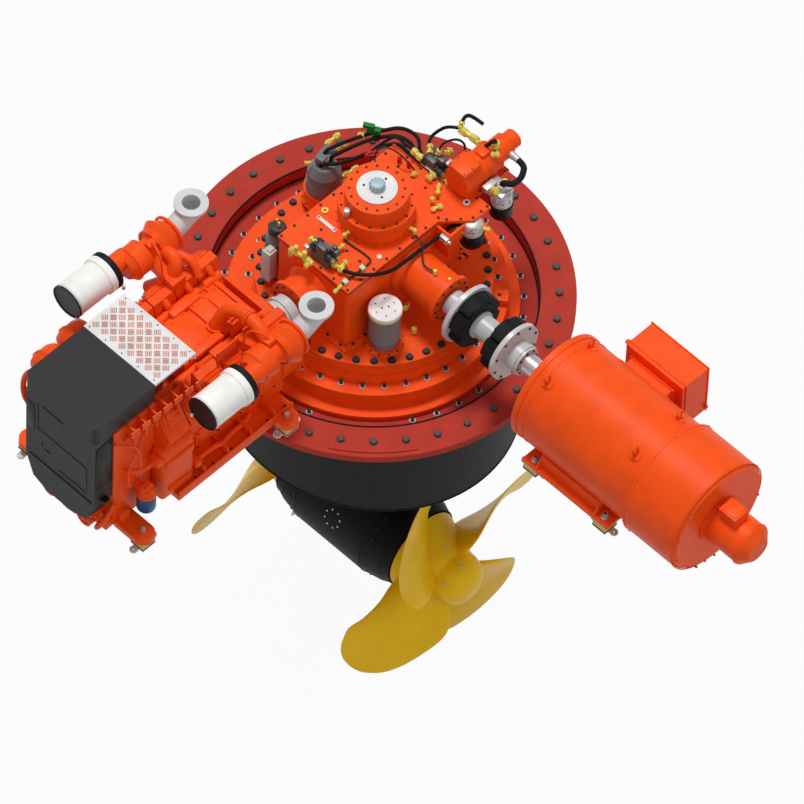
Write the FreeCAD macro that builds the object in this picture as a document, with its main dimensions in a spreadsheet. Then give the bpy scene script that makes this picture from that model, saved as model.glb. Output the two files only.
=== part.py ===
import FreeCAD, Part
import math
import os
import re
import Sketcher
from FreeCAD import Placement, Rotation, Vector

# An azimuth thruster: a hull flange with its well, the steerable strut and twin-propeller pod
# under it, the gearbox and steering gear on it, and an electric motor and a diesel engine that
# both drive the gearbox. Millimetres. The origin is the centre of the hull bolt circle on the
# flange's top face, +Z is up, +X points to the electric motor and the engine lies on -Y.

os.makedirs("parts", exist_ok=True)
doc = FreeCAD.newDocument("azimuth_thruster")
sheet = doc.addObject("Spreadsheet::Sheet", "sizes")
names = []
pieces = []
WORD = re.compile(r"[a-z][a-z_0-9]*")
AXES = {
    "Z": Rotation(),
    "-Z": Rotation(Vector(1, 0, 0), 180),
    "X": Rotation(Vector(1, 1, 1), 120),
    "-X": Rotation(Vector(0, 1, 0), -90),
    "Y": Rotation(Vector(1, 0, 0), -90),
    "-Y": Rotation(Vector(1, 0, 0), 90),
    "Z turned": Rotation(Vector(0, 0, 1), 90),
}


def sizes(**given):
    """Write each driving size in the sheet under its own name."""
    for name, value in given.items():
        names.append(name)
        row = len(names)
        sheet.set(f"A{row}", name)
        sheet.set(f"B{row}", str(value))
        sheet.setAlias(f"B{row}", name)
    sheet.recompute()


def read(name):
    """A size from the sheet as a number, for shapes that are set in code."""
    return float(sheet.get(name))


def tied(formula):
    """A formula with every size's name pointed at the sheet."""
    return WORD.sub(lambda word: f"sizes.{word[0]}" if word[0] in names else word[0], formula)


def bind(target, **formulas):
    for prop, formula in formulas.items():
        target.setExpression(prop, tied(formula))


def place(target, axis, at):
    """Turn a piece so that its own +Z lies along an axis, and put its origin at a point."""
    target.Placement = Placement(Vector(), AXES[axis])
    for letter, formula in zip("xyz", at):
        target.setExpression(f"Placement.Base.{letter}", tied(formula))
    return target


def new(kind, label):
    made = doc.addObject(kind, label)
    made.Label = label
    return made


def keep(made, label):
    """Name a finished piece and list it for writing."""
    made.Label = label
    pieces.append(made)
    return made


def new_body(label):
    body = new("PartDesign::Body", label)
    body.AllowCompound = True
    return body


def new_sketch(body, plane, lift, turn):
    sketch = body.newObject("Sketcher::SketchObject", body.Name + "_outline")
    origin = [face for face in body.Origin.OriginFeatures if face.Role == plane][0]
    sketch.AttachmentSupport = [(origin, "")]
    sketch.MapMode = "FlatFace"
    sketch.AttachmentOffset = Placement(Vector(), Rotation(Vector(0, 1, 0), turn))
    sketch.setExpression("AttachmentOffset.Base.z", tied(lift))
    return sketch


def hold(sketch, geometry, point, across, along):
    """Hold a point of a sketch at two distances from the sketch's origin."""
    for kind, formula in (("DistanceX", across), ("DistanceY", along)):
        start = geometry * 7.0 + point
        number = sketch.addConstraint(Sketcher.Constraint(kind, -1, 1, geometry, point, start))
        sketch.setExpression(f"Constraints[{number}]", tied(formula))


def outline(body, points, plane="XY_Plane", lift="0", turn=0):
    """A closed outline of straight lines through points given as pairs of formulas."""
    sketch = new_sketch(body, plane, lift, turn)
    count = len(points)
    start = [Vector(10.0 * k + 1, 3.0 * k * k + 2, 0) for k in range(count)]
    for k in range(count):
        sketch.addGeometry(Part.LineSegment(start[k], start[(k + 1) % count]), False)
    for k in range(count):
        sketch.addConstraint(Sketcher.Constraint("Coincident", k, 2, (k + 1) % count, 1))
    for k, (across, along) in enumerate(points):
        hold(sketch, k, 1, across, along)
    return sketch


def circles(body, rounds, plane="XY_Plane", lift="0"):
    """Circles given as (across, along, radius) formulas."""
    sketch = new_sketch(body, plane, lift, 0)
    for k, (across, along, radius) in enumerate(rounds):
        sketch.addGeometry(Part.Circle(Vector(100.0 * k, 50.0, 0), Vector(0, 0, 1), 10.0), False)
        hold(sketch, k, 3, across, along)
        number = sketch.addConstraint(Sketcher.Constraint("Radius", k, 10.0))
        sketch.setExpression(f"Constraints[{number}]", tied(radius))
    return sketch


def regular(across, along, radius, corners):
    """The corners of a regular polygon, as formulas."""
    step = 360 / corners
    return [(f"{across} + {radius} * cos({k * step} deg)", f"{along} + {radius} * sin({k * step} deg)")
            for k in range(corners)]


def pad(body, sketch, length, middle=False):
    made = body.newObject("PartDesign::Pad", body.Name + "_pad")
    made.Profile = sketch
    made.Midplane = middle
    bind(made, Length=length)
    return made


def pocket(body, sketch, depth=None, upward=False):
    made = body.newObject("PartDesign::Pocket", body.Name + "_pocket")
    made.Profile = sketch
    made.Reversed = upward
    if depth is None:
        made.Type = "ThroughAll"
    else:
        bind(made, Length=depth)
    return made


def revolve(body, sketch, angle="360"):
    made = body.newObject("PartDesign::Revolution", body.Name + "_turn")
    made.Profile = sketch
    made.ReferenceAxis = (sketch, ["V_Axis"])
    bind(made, Angle=angle)
    return made


def around(body, feature, count, angle="360"):
    """Repeat a feature of a body around the body's own Z axis."""
    made = body.newObject("PartDesign::PolarPattern", body.Name + "_pattern")
    made.Originals = [feature]
    made.Axis = ([face for face in body.Origin.OriginFeatures if face.Role == "Z_Axis"][0], [""])
    bind(made, Angle=angle, Occurrences=count)
    body.Tip = made
    return made


def rounded(body, radius, chosen):
    """Fillet the edges of a body's tip that a test picks by their place."""
    doc.recompute()
    tip = body.Tip
    edges = [f"Edge{k + 1}" for k, edge in enumerate(tip.Shape.Edges) if chosen(edge)]
    made = body.newObject("PartDesign::Fillet", body.Name + "_round")
    made.Base = (tip, edges)
    bind(made, Radius=radius)
    body.Tip = made
    return made


def turned(label, points, axis="Z", at=("0", "0", "0")):
    """A piece turned about its own Z axis from (radius, height) points."""
    body = new_body(label)
    revolve(body, outline(body, points, "XZ_Plane"))
    return place(body, axis, at)


def prism(label, points, length, axis="Z", at=("0", "0", "0")):
    body = new_body(label)
    pad(body, outline(body, points), length)
    return place(body, axis, at)


def box(label, size, at):
    made = new("Part::Box", label)
    bind(made, Length=size[0], Width=size[1], Height=size[2])
    return place(made, "Z", at)


def cylinder(label, radius, height, axis="Z", at=("0", "0", "0")):
    made = new("Part::Cylinder", label)
    bind(made, Radius=radius, Height=height)
    return place(made, axis, at)


def fuse(label, *parts):
    made = new("Part::MultiFuse", label)
    made.Shapes = list(parts)
    return made


def cut(label, base, *tools):
    made = new("Part::Cut", label)
    made.Base = base
    made.Tool = tools[0] if len(tools) == 1 else fuse(label + "_tools", *tools)
    return made


def group(label, *parts):
    made = new("Part::Compound", label)
    made.Links = list(parts)
    return made


def shape_piece(label, shape):
    made = new("Part::Feature", label)
    made.Shape = shape
    made.Placement = Placement()
    return made


# Hull flange: the red ring that is bolted down on the ship's well, with a neck and a ledge
# that carry the inner flange, and ribs under it between every second pair of bolts.
sizes(flange_radius=1640, flange_thickness=70, well_radius=1340, neck_wall=35,
      inner_flange_drop=135, inner_flange_thickness=60, ledge_radius=1190, ledge_thickness=40,
      hull_bolt_circle=1500, hull_bolt_hole=19.5, hull_bolts=36, flange_ribs=18,
      rib_reach=1600, rib_thickness=25, arc_pad_inner=1395, arc_pad_outer=1600,
      arc_pad_height=12, arc_pad_angle=26)
LEDGE_TOP = "-(inner_flange_drop + inner_flange_thickness)"
LEDGE_BOTTOM = f"({LEDGE_TOP} - ledge_thickness)"
NECK = "(well_radius + neck_wall)"
well_flange = new_body("well_flange")
revolve(well_flange, outline(well_flange, [
    ("flange_radius", "0"), ("well_radius", "0"), ("well_radius", LEDGE_TOP),
    ("ledge_radius", LEDGE_TOP), ("ledge_radius", LEDGE_BOTTOM), (NECK, LEDGE_BOTTOM),
    (NECK, "-flange_thickness"), ("flange_radius", "-flange_thickness")], "XZ_Plane"))
rib = pad(well_flange, outline(well_flange, [
    (f"{NECK} - 1", "-flange_thickness + 1"), ("rib_reach", "-flange_thickness + 1"),
    ("rib_reach", "-flange_thickness - rib_thickness"), (f"{NECK} - 1", LEDGE_BOTTOM)],
    "XZ_Plane"), "rib_thickness", middle=True)
around(well_flange, rib, "flange_ribs")
arc_pad = outline(well_flange, [
    ("arc_pad_inner", "-1"), ("arc_pad_outer", "-1"), ("arc_pad_outer", "arc_pad_height"),
    ("arc_pad_inner", "arc_pad_height")], "XZ_Plane", turn=-45 - read("arc_pad_angle") / 2)
revolve(well_flange, arc_pad, "arc_pad_angle")
hull_hole = pocket(well_flange, circles(well_flange, [
    ("hull_bolt_circle * cos(180 deg / hull_bolts)",
     "hull_bolt_circle * sin(180 deg / hull_bolts)", "hull_bolt_hole")],
    lift="arc_pad_height"))
around(well_flange, hull_hole, "hull_bolts")
keep(well_flange, "well_flange")

# Inner flange: a red ring on the ledge, held by a ring of socket screws.
sizes(flange_play=3, support_bore=1065)
inner_flange = turned("inner_flange", [
    ("support_bore", LEDGE_TOP), ("well_radius - flange_play", LEDGE_TOP),
    ("well_radius - flange_play", "-inner_flange_drop"), ("support_bore", "-inner_flange_drop")])
keep(inner_flange, "inner_flange")

# Well casing: the black drum under the flange, closed below by a sloping plate with a collar
# round the steering pipe. Its lower rim slopes down away from the engine.
sizes(casing_radius=1250, casing_wall=28, casing_depth=1278, casing_slope=7.4,
      casing_slope_azimuth=42.7, casing_floor=30, pipe_radius=420, seal_play=0.5,
      collar_radius=480, collar_height=130)
SLOPE_DROP = "(casing_radius * tan(casing_slope * 1 deg))"
SLOPE_LEAN = ("sin(casing_slope * 1 deg) * cos(casing_slope_azimuth * 1 deg)",
              "sin(casing_slope * 1 deg) * sin(casing_slope_azimuth * 1 deg)",
              "cos(casing_slope * 1 deg)")
drum = turned("casing_drum", [
    ("casing_radius - casing_wall", LEDGE_BOTTOM), ("casing_radius", LEDGE_BOTTOM),
    ("casing_radius", f"-casing_depth - {SLOPE_DROP} - casing_floor"),
    ("casing_radius - casing_wall", f"-casing_depth - {SLOPE_DROP} - casing_floor")])


def sloping_disc(label, height, lift):
    """A wide disc that leans with the casing's floor, lifted along its own axis."""
    disc = new("Part::Cylinder", label)
    bind(disc, Radius="2 * casing_radius", Height=height)
    turn = Rotation(Vector(0, 0, 1), read("casing_slope_azimuth")) * Rotation(
        Vector(0, 1, 0), read("casing_slope"))
    disc.Placement = Placement(Vector(), turn)
    for letter, lean, drop in zip("xyz", SLOPE_LEAN, ("0", "0", "casing_depth")):
        disc.setExpression(f"Placement.Base.{letter}", tied(f"({lift}) * {lean} - {drop}"))
    return disc


casing_plug = cylinder("casing_plug", "casing_radius", "2 * casing_depth",
                       at=("0", "0", "-2 * casing_depth"))
floor_plate = new("Part::Common", "casing_floor_plate")
floor_plate.Base = sloping_disc("casing_slope_floor", "casing_floor", "0")
floor_plate.Tool = casing_plug
rim = cut("casing_rim", drum, sloping_disc("casing_slope_cut", "casing_radius", "-casing_radius"))
collar = cylinder("casing_collar", "collar_radius", "collar_height",
                  at=("0", "0", "-casing_depth - collar_height / 2"))
casing_body = fuse("casing_body", rim, floor_plate, collar)
casing_bore = cylinder("casing_bore", "pipe_radius + seal_play", "2 * collar_height + 200",
                       at=("0", "0", "-casing_depth - collar_height - 100"))
keep(cut("casing_shell", casing_body, casing_bore), "well_casing")

# Steering support: the orange drum that stands on the inner flange. Its inward floor carries
# the slewing ring, and its foot and its floor each have a ring of socket screws.
sizes(support_foot_radius=1185, support_foot=50, support_radius=1093, support_top=80,
      support_floor=40, slew_seat_radius=700)
SUPPORT_FOOT_TOP = "(support_foot - inner_flange_drop)"
steering_support = turned("steering_support", [
    ("support_bore", "-inner_flange_drop"), ("support_foot_radius", "-inner_flange_drop"),
    ("support_foot_radius", SUPPORT_FOOT_TOP), ("support_radius", SUPPORT_FOOT_TOP),
    ("support_radius", "support_top"), ("slew_seat_radius", "support_top"),
    ("slew_seat_radius", "support_top - support_floor"),
    ("support_bore", "support_top - support_floor")])
keep(steering_support, "steering_support")

# Gear case: the upper drum round the steering gears, and the top plate that closes it.
sizes(case_radius=965, case_wall=30, case_height=185, case_step=10, case_step_height=110,
      plate_radius=961, plate_thickness=40, plate_bore=180, drive_spigot=105)
CASE_TOP = "(support_top + case_height)"
PLATE_TOP = "(support_top + case_height + plate_thickness)"
gear_case = turned("gear_case", [
    ("case_radius - case_wall", "support_top"), ("case_radius + case_step", "support_top"),
    ("case_radius + case_step", "support_top + case_step_height"),
    ("case_radius", "support_top + case_step_height"), ("case_radius", CASE_TOP),
    ("case_radius - case_wall", CASE_TOP)])
keep(gear_case, "gear_case")

# Steering gears: two hydraulic drives turn pinions that mesh with the slewing ring's teeth.
sizes(ring_teeth=66, pinion_teeth=12, steering_module=20, drive_space=30, second_drive_space=-25,
      tooth_addendum=0.65, tooth_dedendum=0.85, tooth_share=0.42, tip_share=0.24)
CENTRES = "((ring_teeth + pinion_teeth) * steering_module / 2)"


def drive_azimuth(space):
    return f"(360 deg / ring_teeth * ({space} + 0.5))"


def drive_at(space):
    return f"{CENTRES} * cos{drive_azimuth(space)}", f"{CENTRES} * sin{drive_azimuth(space)}"


DRIVES = [drive_at("drive_space"), drive_at("second_drive_space")]
top_plate = new_body("top_plate")
pad(top_plate, circles(top_plate, [("0", "0", "plate_radius")]), "plate_thickness")
pocket(top_plate, circles(top_plate, [
    ("0", "0", "plate_bore"), (*DRIVES[0], "drive_spigot"), (*DRIVES[1], "drive_spigot")],
    lift="plate_thickness"))
keep(place(top_plate, "Z", ("0", "0", CASE_TOP)), "top_plate")

# Screws: socket screws on the inner flange and the support, hexagon bolts on the top plate.
sizes(inner_screw_circle=1220, inner_screws=34, inner_screw_arc=330, inner_screw_start=-30,
      support_screw_circle=1007, support_screws=36, plate_bolt_circle=917, plate_bolts=40,
      screw_head_radius=27, screw_head_height=30, bolt_head_radius=27, bolt_head_height=24)


def head_ring(label, circle, radius, height, corners, count, arc, base, start="0"):
    body = new_body(label)
    head = pad(body, outline(body, regular(circle, "0", radius, corners)), height)
    around(body, head, count, arc)
    body.Placement = Placement(Vector(), Rotation())
    body.setExpression("Placement.Base.z", tied(base))
    body.setExpression("Placement.Rotation.Angle", tied(start))
    return body


inner_ring = head_ring("inner_flange_ring", "inner_screw_circle", "screw_head_radius",
                       "screw_head_height", 8, "inner_screws", "inner_screw_arc",
                       "-inner_flange_drop", "inner_screw_start")
support_ring = head_ring("support_ring", "support_screw_circle", "screw_head_radius",
                         "screw_head_height", 8, "support_screws", "360", "support_top")
keep(group("socket_screws", inner_ring, support_ring), "ring_screws")
keep(head_ring("plate_bolts", "plate_bolt_circle", "bolt_head_radius", "bolt_head_height",
               6, "plate_bolts", "360", PLATE_TOP), "plate_bolts")


# Slewing bearing: a fixed outer ring in the support's floor, and a turning inner ring that
# carries external teeth above it.
sizes(slew_flange_radius=750, slew_flange=20, slew_outer_radius=690, slew_race_radius=600,
      slew_play=0.3, slew_inner_radius=500, slew_depth=80, ring_bottom=110, ring_height=90)
slew_outer = turned("slew_outer", [
    ("slew_race_radius", "support_top - slew_depth"),
    ("slew_outer_radius", "support_top - slew_depth"), ("slew_outer_radius", "support_top"),
    ("slew_flange_radius", "support_top"), ("slew_flange_radius", "support_top + slew_flange"),
    ("slew_race_radius", "support_top + slew_flange")])
keep(slew_outer, "slew_bearing_outer")


def toothed(body, teeth, bottom, height, module="steering_module"):
    """Add straight spur teeth round a blank that reaches the root circle."""
    pitch = f"({teeth} * {module} / 2)"
    root = f"({pitch} - tooth_dedendum * {module} - 2)"
    tip = f"({pitch} + tooth_addendum * {module})"
    wide = f"({module} * pi * tooth_share * 1.3 / 2)"
    narrow = f"({module} * pi * tip_share / 2)"
    tooth = pad(body, outline(body, [
        (root, f"-{wide}"), (tip, f"-{narrow}"), (tip, narrow), (root, wide)], lift=bottom), height)
    return around(body, tooth, teeth)


ring_gear = new_body("ring_gear")
RING_ROOT = "(ring_teeth * steering_module / 2 - tooth_dedendum * steering_module)"
revolve(ring_gear, outline(ring_gear, [
    ("slew_inner_radius", "support_top - slew_depth"),
    ("slew_race_radius - slew_play", "support_top - slew_depth"),
    ("slew_race_radius - slew_play", "ring_bottom"), (RING_ROOT, "ring_bottom"),
    (RING_ROOT, "ring_bottom + ring_height"), ("slew_inner_radius", "ring_bottom + ring_height")],
    "XZ_Plane"))
toothed(ring_gear, "ring_teeth", "ring_bottom", "ring_height")
keep(ring_gear, "ring_gear")

# Steering drives: hydraulic motors that stand on the top plate, each with a pinion below it.
sizes(pinion_shaft=45, running_fit=0.05, drive_neck_height=50, drive_radius=148,
      drive_height=505, second_drive_radius=105, second_drive_height=520, pinion_shaft_top=285,
      drive_foot_step=60)
PINION_ROOT = "(pinion_teeth * steering_module / 2 - tooth_dedendum * steering_module)"


def steering_pinion(label, at, space):
    """A pinion with a tooth that points at the ring gear's space."""
    body = new_body(label)
    pad(body, circles(body, [("0", "0", PINION_ROOT)]), "ring_height")
    pad(body, circles(body, [("0", "0", "pinion_shaft")]), "pinion_shaft_top - ring_bottom")
    toothed(body, "pinion_teeth", "0", "ring_height")
    body.Placement = Placement(Vector(), Rotation())
    for letter, formula in zip("xyz", (*at, "ring_bottom")):
        body.setExpression(f"Placement.Base.{letter}", tied(formula))
    body.setExpression("Placement.Rotation.Angle", tied(f"180 deg + {drive_azimuth(space)}"))
    return keep(body, label)


steering_pinion("steering_pinion_a", DRIVES[0], "drive_space")
steering_pinion("steering_pinion_b", DRIVES[1], "second_drive_space")


def steering_drive(label, at, radius, height):
    """A drive from its spigot in the top plate to the motor's cap."""
    bore = "pinion_shaft + running_fit"
    bottom = "-(plate_thickness + 20)"
    return turned(label, [
        (bore, bottom), ("drive_spigot - running_fit", bottom),
        ("drive_spigot - running_fit", "drive_foot_step"), (radius, "drive_foot_step"),
        (radius, f"{height} * 0.62"), (f"{radius} * 0.93", f"{height} * 0.65"),
        (f"{radius} * 0.93", f"{height} * 0.84"), (f"{radius} * 0.6", f"{height}"),
        ("0", height), ("0", "drive_neck_height"), (bore, "drive_neck_height")],
        at=(*at, PLATE_TOP))


drive_a = steering_drive("large_drive", DRIVES[0], "drive_radius", "drive_height")
drive_b = steering_drive("small_drive", DRIVES[1], "second_drive_radius", "second_drive_height")
keep(group("drives", drive_a, drive_b), "steering_drives")

# Gearbox: an open-topped cast box on the top plate with a bore for each input, a cover plate
# with a wing over the hydraulics, and a turned two-step cover over the upper bevel gear.
sizes(box_half_width=395, box_front=715, box_back=600, box_wall=40, box_floor=40,
      box_height=705, cover_thickness=30, input_height=715, neck_bore=130, muff_radius=115,
      wing_reach=587, wing_near=304, wing_far=515, wing_end=710, wing_inner=353)
BOX_TOP = f"({PLATE_TOP} + box_height)"
COVER_TOP = f"({BOX_TOP} + cover_thickness)"
hollow = box("gearbox_hollow", ("2 * box_half_width - 2 * box_wall",
                                "box_front + box_back - 2 * box_wall", "box_height"),
             ("box_wall - box_half_width", "box_wall - box_front", f"{PLATE_TOP} + box_floor"))
shell = new_body("gearbox_shell")
pad(shell, outline(shell, [
    ("-box_half_width", "-box_front"), ("box_half_width", "-box_front"),
    ("box_half_width", "box_back"), ("-box_half_width", "box_back")]), "box_height")
rounded(shell, "box_wall", lambda edge: abs(edge.tangentAt(edge.FirstParameter).z) > 0.9)
place(shell, "Z", ("0", "0", PLATE_TOP))
motor_bore = cylinder("motor_side_bore", "neck_bore", "box_wall * 4", "X",
                      ("box_half_width - 2 * box_wall", "0", "input_height"))
engine_bore = cylinder("engine_side_bore", "neck_bore", "box_wall * 4", "-Y",
                       ("0", "2 * box_wall - box_front", "input_height"))
muff_bore = cylinder("gearbox_floor_bore", "muff_radius + running_fit", "box_floor * 4",
                     at=("0", "0", f"{PLATE_TOP} - box_floor"))
keep(cut("gearbox_box", shell, hollow, motor_bore, engine_bore, muff_bore), "gearbox_housing")

sizes(cover_radius=312, cover_step=195, cover_upper_radius=261, cover_upper_step=152,
      cover_bore=240, cover_wall=22)
gearbox_cover = prism("gearbox_cover", [
    ("-box_half_width", "-box_front"), ("box_half_width", "-box_front"),
    ("box_half_width", "wing_near"), ("wing_reach", "wing_far"),
    ("wing_reach", "wing_end"), ("wing_inner", "wing_end"),
    ("box_half_width - 150", "box_back"), ("-box_half_width", "box_back")],
    "cover_thickness", at=("0", "0", BOX_TOP))
pocket(gearbox_cover, circles(gearbox_cover, [("0", "0", "cover_bore")], lift="cover_thickness"))
keep(gearbox_cover, "gearbox_cover")

UPPER_TOP = "(cover_step + cover_upper_step)"
bearing_cover = turned("bearing_cover", [
    ("cover_radius + 14", "0"), ("cover_radius + 14", "20"), ("cover_radius", "20"),
    ("cover_radius", "cover_step"), ("cover_upper_radius", "cover_step"),
    ("cover_upper_radius", UPPER_TOP), ("0", UPPER_TOP), ("0", f"{UPPER_TOP} - cover_wall"),
    ("cover_upper_radius - cover_wall", f"{UPPER_TOP} - cover_wall"),
    ("cover_upper_radius - cover_wall", "0")], at=("0", "0", COVER_TOP))
keep(bearing_cover, "bearing_cover")

sizes(disc_radius=165, disc_thickness=14, knob_radius=60, knob_height=62)
disc = cylinder("disc", "disc_radius", "disc_thickness", at=("0", "0", f"{COVER_TOP} + {UPPER_TOP}"))
knob = prism("knob", regular("0", "0", "knob_radius", 12), "knob_height",
             at=("0", "0", f"{COVER_TOP} + {UPPER_TOP} + disc_thickness"))
keep(group("angle_sensor_parts", disc, knob), "angle_sensor")

# Input necks: the turned bearing tubes on the gearbox's motor side and engine side.
sizes(neck_radius=190, neck_reach=850, neck_ring=215, neck_ring_width=40, neck_seal_width=90,
      input_shaft=60, engine_neck_reach=950)


def input_neck(label, face, reach, axis, at):
    length = f"({reach} - {face})"
    return turned(label, [
        ("neck_bore", "0"), ("neck_radius + 40", "0"), ("neck_radius + 40", "25"),
        ("neck_radius", "60"), ("neck_radius", f"{length} - neck_ring_width"),
        ("neck_ring", f"{length} - neck_ring_width"), ("neck_ring", length),
        ("input_shaft + running_fit", length),
        ("input_shaft + running_fit", f"{length} - neck_seal_width"),
        ("neck_bore", f"{length} - neck_seal_width")], axis, at)


motor_neck = input_neck("motor_neck", "box_half_width", "neck_reach", "X",
                        ("box_half_width", "0", "input_height"))
engine_neck = input_neck("engine_neck", "box_front", "engine_neck_reach", "-Y",
                         ("0", "-box_front", "input_height"))
keep(group("necks", motor_neck, engine_neck), "input_necks")

# Bevel gears: the tooth flanks are planes through the point where the two axes cross, so each
# gear is a star-shaped frustum between two planes.
sizes(upper_gear_teeth=28, upper_pinion_teeth=14, upper_module=20, lower_gear_teeth=33,
      lower_pinion_teeth=12, lower_module=18, bevel_small_end=0.72, bevel_tooth_share=0.41,
      bevel_tip_share=0.22)


def bevel_star(teeth, mate_teeth, module, scale, first):
    """The tooth outline of a bevel gear in the plane across its axis at a scale of its large end."""
    pitch = teeth * module / 2
    apart = mate_teeth * module / 2
    cone_angle = math.atan2(pitch, apart)
    cone_length = math.hypot(pitch, apart)
    tip = apart * math.tan(cone_angle + math.atan(read("tooth_addendum") * module / cone_length))
    root = apart * math.tan(cone_angle - math.atan(read("tooth_dedendum") * module / cone_length))
    step = 2 * math.pi / teeth
    low = step * read("bevel_tooth_share") * 0.72
    high = step * read("bevel_tip_share") * 0.5
    corners = []
    for tooth in range(teeth):
        middle = first + tooth * step
        for radius, turn in ((root, -low), (tip, -high), (tip, high), (root, low)):
            angle = middle + turn
            corners.append(Vector(radius * math.cos(angle), radius * math.sin(angle), -apart) * scale)
    return Part.makePolygon(corners + corners[:1])


def bevel_frustum(teeth, mate_teeth, module, first):
    """A toothed frustum below the meeting point, its large end down."""
    ends = [bevel_star(teeth, mate_teeth, module, scale, first)
            for scale in (1.0, read("bevel_small_end"))]
    return Part.makeLoft(ends, True, True)


def bevel_root(teeth, mate_teeth, module):
    pitch = teeth * module / 2
    apart = mate_teeth * module / 2
    angle = math.atan2(pitch, apart) - math.atan(
        read("tooth_dedendum") * module / math.hypot(pitch, apart))
    return apart * math.tan(angle)


# Upper bevel gear: faces up, with a muff that takes the vertical shaft's end.
sizes(upper_gear_blank=75, muff_length=165, muff_socket=230, shaft_radius=75, shaft_top=480)
upper_apart = read("upper_pinion_teeth") * read("upper_module") / 2
upper_step = 2 * math.pi / read("upper_gear_teeth")
gear = bevel_frustum(int(read("upper_gear_teeth")), int(read("upper_pinion_teeth")),
                     read("upper_module"), upper_step / 2)
upper_root = bevel_root(read("upper_gear_teeth"), read("upper_pinion_teeth"), read("upper_module"))
blank_bottom = -upper_apart - read("upper_gear_blank")
blank = Part.makeCylinder(upper_root - 4, read("upper_gear_blank"), Vector(0, 0, blank_bottom))
muff = Part.makeCylinder(read("muff_radius"), read("muff_length"),
                         Vector(0, 0, blank_bottom - read("muff_length")))
socket = Part.makeCylinder(read("shaft_radius") + read("running_fit"), read("muff_socket"),
                           Vector(0, 0, blank_bottom - read("muff_length")))
upper_gear = shape_piece("upper_gear", gear.fuse([blank, muff]).cut(socket).removeSplitter())
keep(place(upper_gear, "Z", ("0", "0", "input_height")), "upper_gear")


def input_pinion(first):
    """A bevel pinion with its back, made along -Z from the point where the axes cross."""
    teeth = int(read("upper_pinion_teeth"))
    mate = int(read("upper_gear_teeth"))
    module = read("upper_module")
    apart = mate * module / 2
    pinion = bevel_frustum(teeth, mate, module, first * 2 * math.pi / teeth)
    back = Part.makeCylinder(bevel_root(teeth, mate, module) - 3, 50, Vector(0, 0, -apart - 50))
    return pinion.fuse(back), apart + 50


sizes(motor_shaft_end=1010, engine_shaft_end=1130)
for label, end, first_tooth, axis_turn in (
        ("motor_input_shaft", "motor_shaft_end", 0.0, Rotation(Vector(0, 1, 0), -90)),
        ("engine_input_shaft", "engine_shaft_end", 0.5, Rotation(Vector(1, 0, 0), -90))):
    pinion_solid, pinion_back = input_pinion(first_tooth)
    reach = read(end) - pinion_back + 1
    rod = Part.makeCylinder(read("input_shaft"), reach, Vector(0, 0, -read(end)))
    made = shape_piece(label, pinion_solid.fuse(rod).removeSplitter())
    made.Placement = Placement(Vector(0, 0, read("input_height")), axis_turn)
    keep(made, label)

# Motor coupling: two flanged hubs with a spacer between two lobed rubber elements.
sizes(hub_radius=110, hub_start=865, coupling_flange=267, flange_face=1010, coupling_plate=40,
      element_width=125, element_radius=235, spacer_radius=105, spacer_length=225,
      rear_element_width=130, rear_hub_radius=130, rear_hub_length=170, motor_shaft=88)
SPACER_START = "(flange_face + coupling_plate + element_width)"
REAR_FLANGE = f"({SPACER_START} + spacer_length + rear_element_width)"
front_hub = turned("front_hub", [
    ("input_shaft", "hub_start"), ("hub_radius", "hub_start"), ("hub_radius", "flange_face"),
    ("coupling_flange", "flange_face"), ("coupling_flange", "flange_face + coupling_plate"),
    ("0", "flange_face + coupling_plate"), ("0", "motor_shaft_end"),
    ("input_shaft", "motor_shaft_end")], "X", ("0", "0", "input_height"))
spacer = cylinder("coupling_spacer", "spacer_radius", "spacer_length", "X",
                  (SPACER_START, "0", "input_height"))
rear_hub = turned("rear_hub", [
    ("0", "0"), ("coupling_flange - 6", "0"), ("coupling_flange - 6", "coupling_plate"),
    ("rear_hub_radius", "coupling_plate + 10"), ("rear_hub_radius", "rear_hub_length"),
    ("0", "rear_hub_length")], "X", (REAR_FLANGE, "0", "input_height"))
keep(group("coupling_metal", front_hub, spacer, rear_hub), "motor_coupling")


def lobed(label, width, start):
    """A rubber element with six lobes, cut by valleys round a disc."""
    body = new_body(label)
    pad(body, circles(body, [("0", "0", "element_radius")]), width)
    valley = pocket(body, circles(body, [("element_radius * 1.08", "0", "element_radius * 0.22")],
                                  lift=width))
    around(body, valley, "6")
    return place(body, "X", (start, "0", "input_height"))


front_element = lobed("front_element", "element_width", "flange_face + coupling_plate")
rear_element = lobed("rear_element", "rear_element_width", f"{SPACER_START} + spacer_length")
keep(group("rubber_elements", front_element, rear_element), "flexible_elements")

# Electric motor: a smooth tube with a thick stator wall, a rotor on its shaft, a cooling drum
# and fan behind it, a terminal box on its side and welded feet on rubber mounts.
sizes(motor_front=2000, motor_back=3257, motor_radius=485, motor_bore=390, motor_end=60,
      rotor_radius=386, rotor_front=2160, rotor_back=3080, cowl_radius=515, cowl_back=3816,
      cowl_wall=20, fan_radius=185, fan_back=4180, fan_cap_radius=110, fan_cap_length=70)
MOTOR_SHAFT_BORE = "(motor_shaft + running_fit)"
motor_frame = turned("motor_frame", [
    (MOTOR_SHAFT_BORE, "0"), ("motor_radius - 60", "0"), ("motor_radius - 18", "18"),
    ("motor_radius", "60"), ("motor_radius", "motor_back - motor_front"),
    (MOTOR_SHAFT_BORE, "motor_back - motor_front"),
    (MOTOR_SHAFT_BORE, "motor_back - motor_front - motor_end"),
    ("motor_bore", "motor_back - motor_front - motor_end"), ("motor_bore", "motor_end"),
    (MOTOR_SHAFT_BORE, "motor_end")], "X", ("motor_front", "0", "input_height"))
keep(motor_frame, "motor_frame")
REAR_HUB_END = f"({REAR_FLANGE} + rear_hub_length)"
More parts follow.
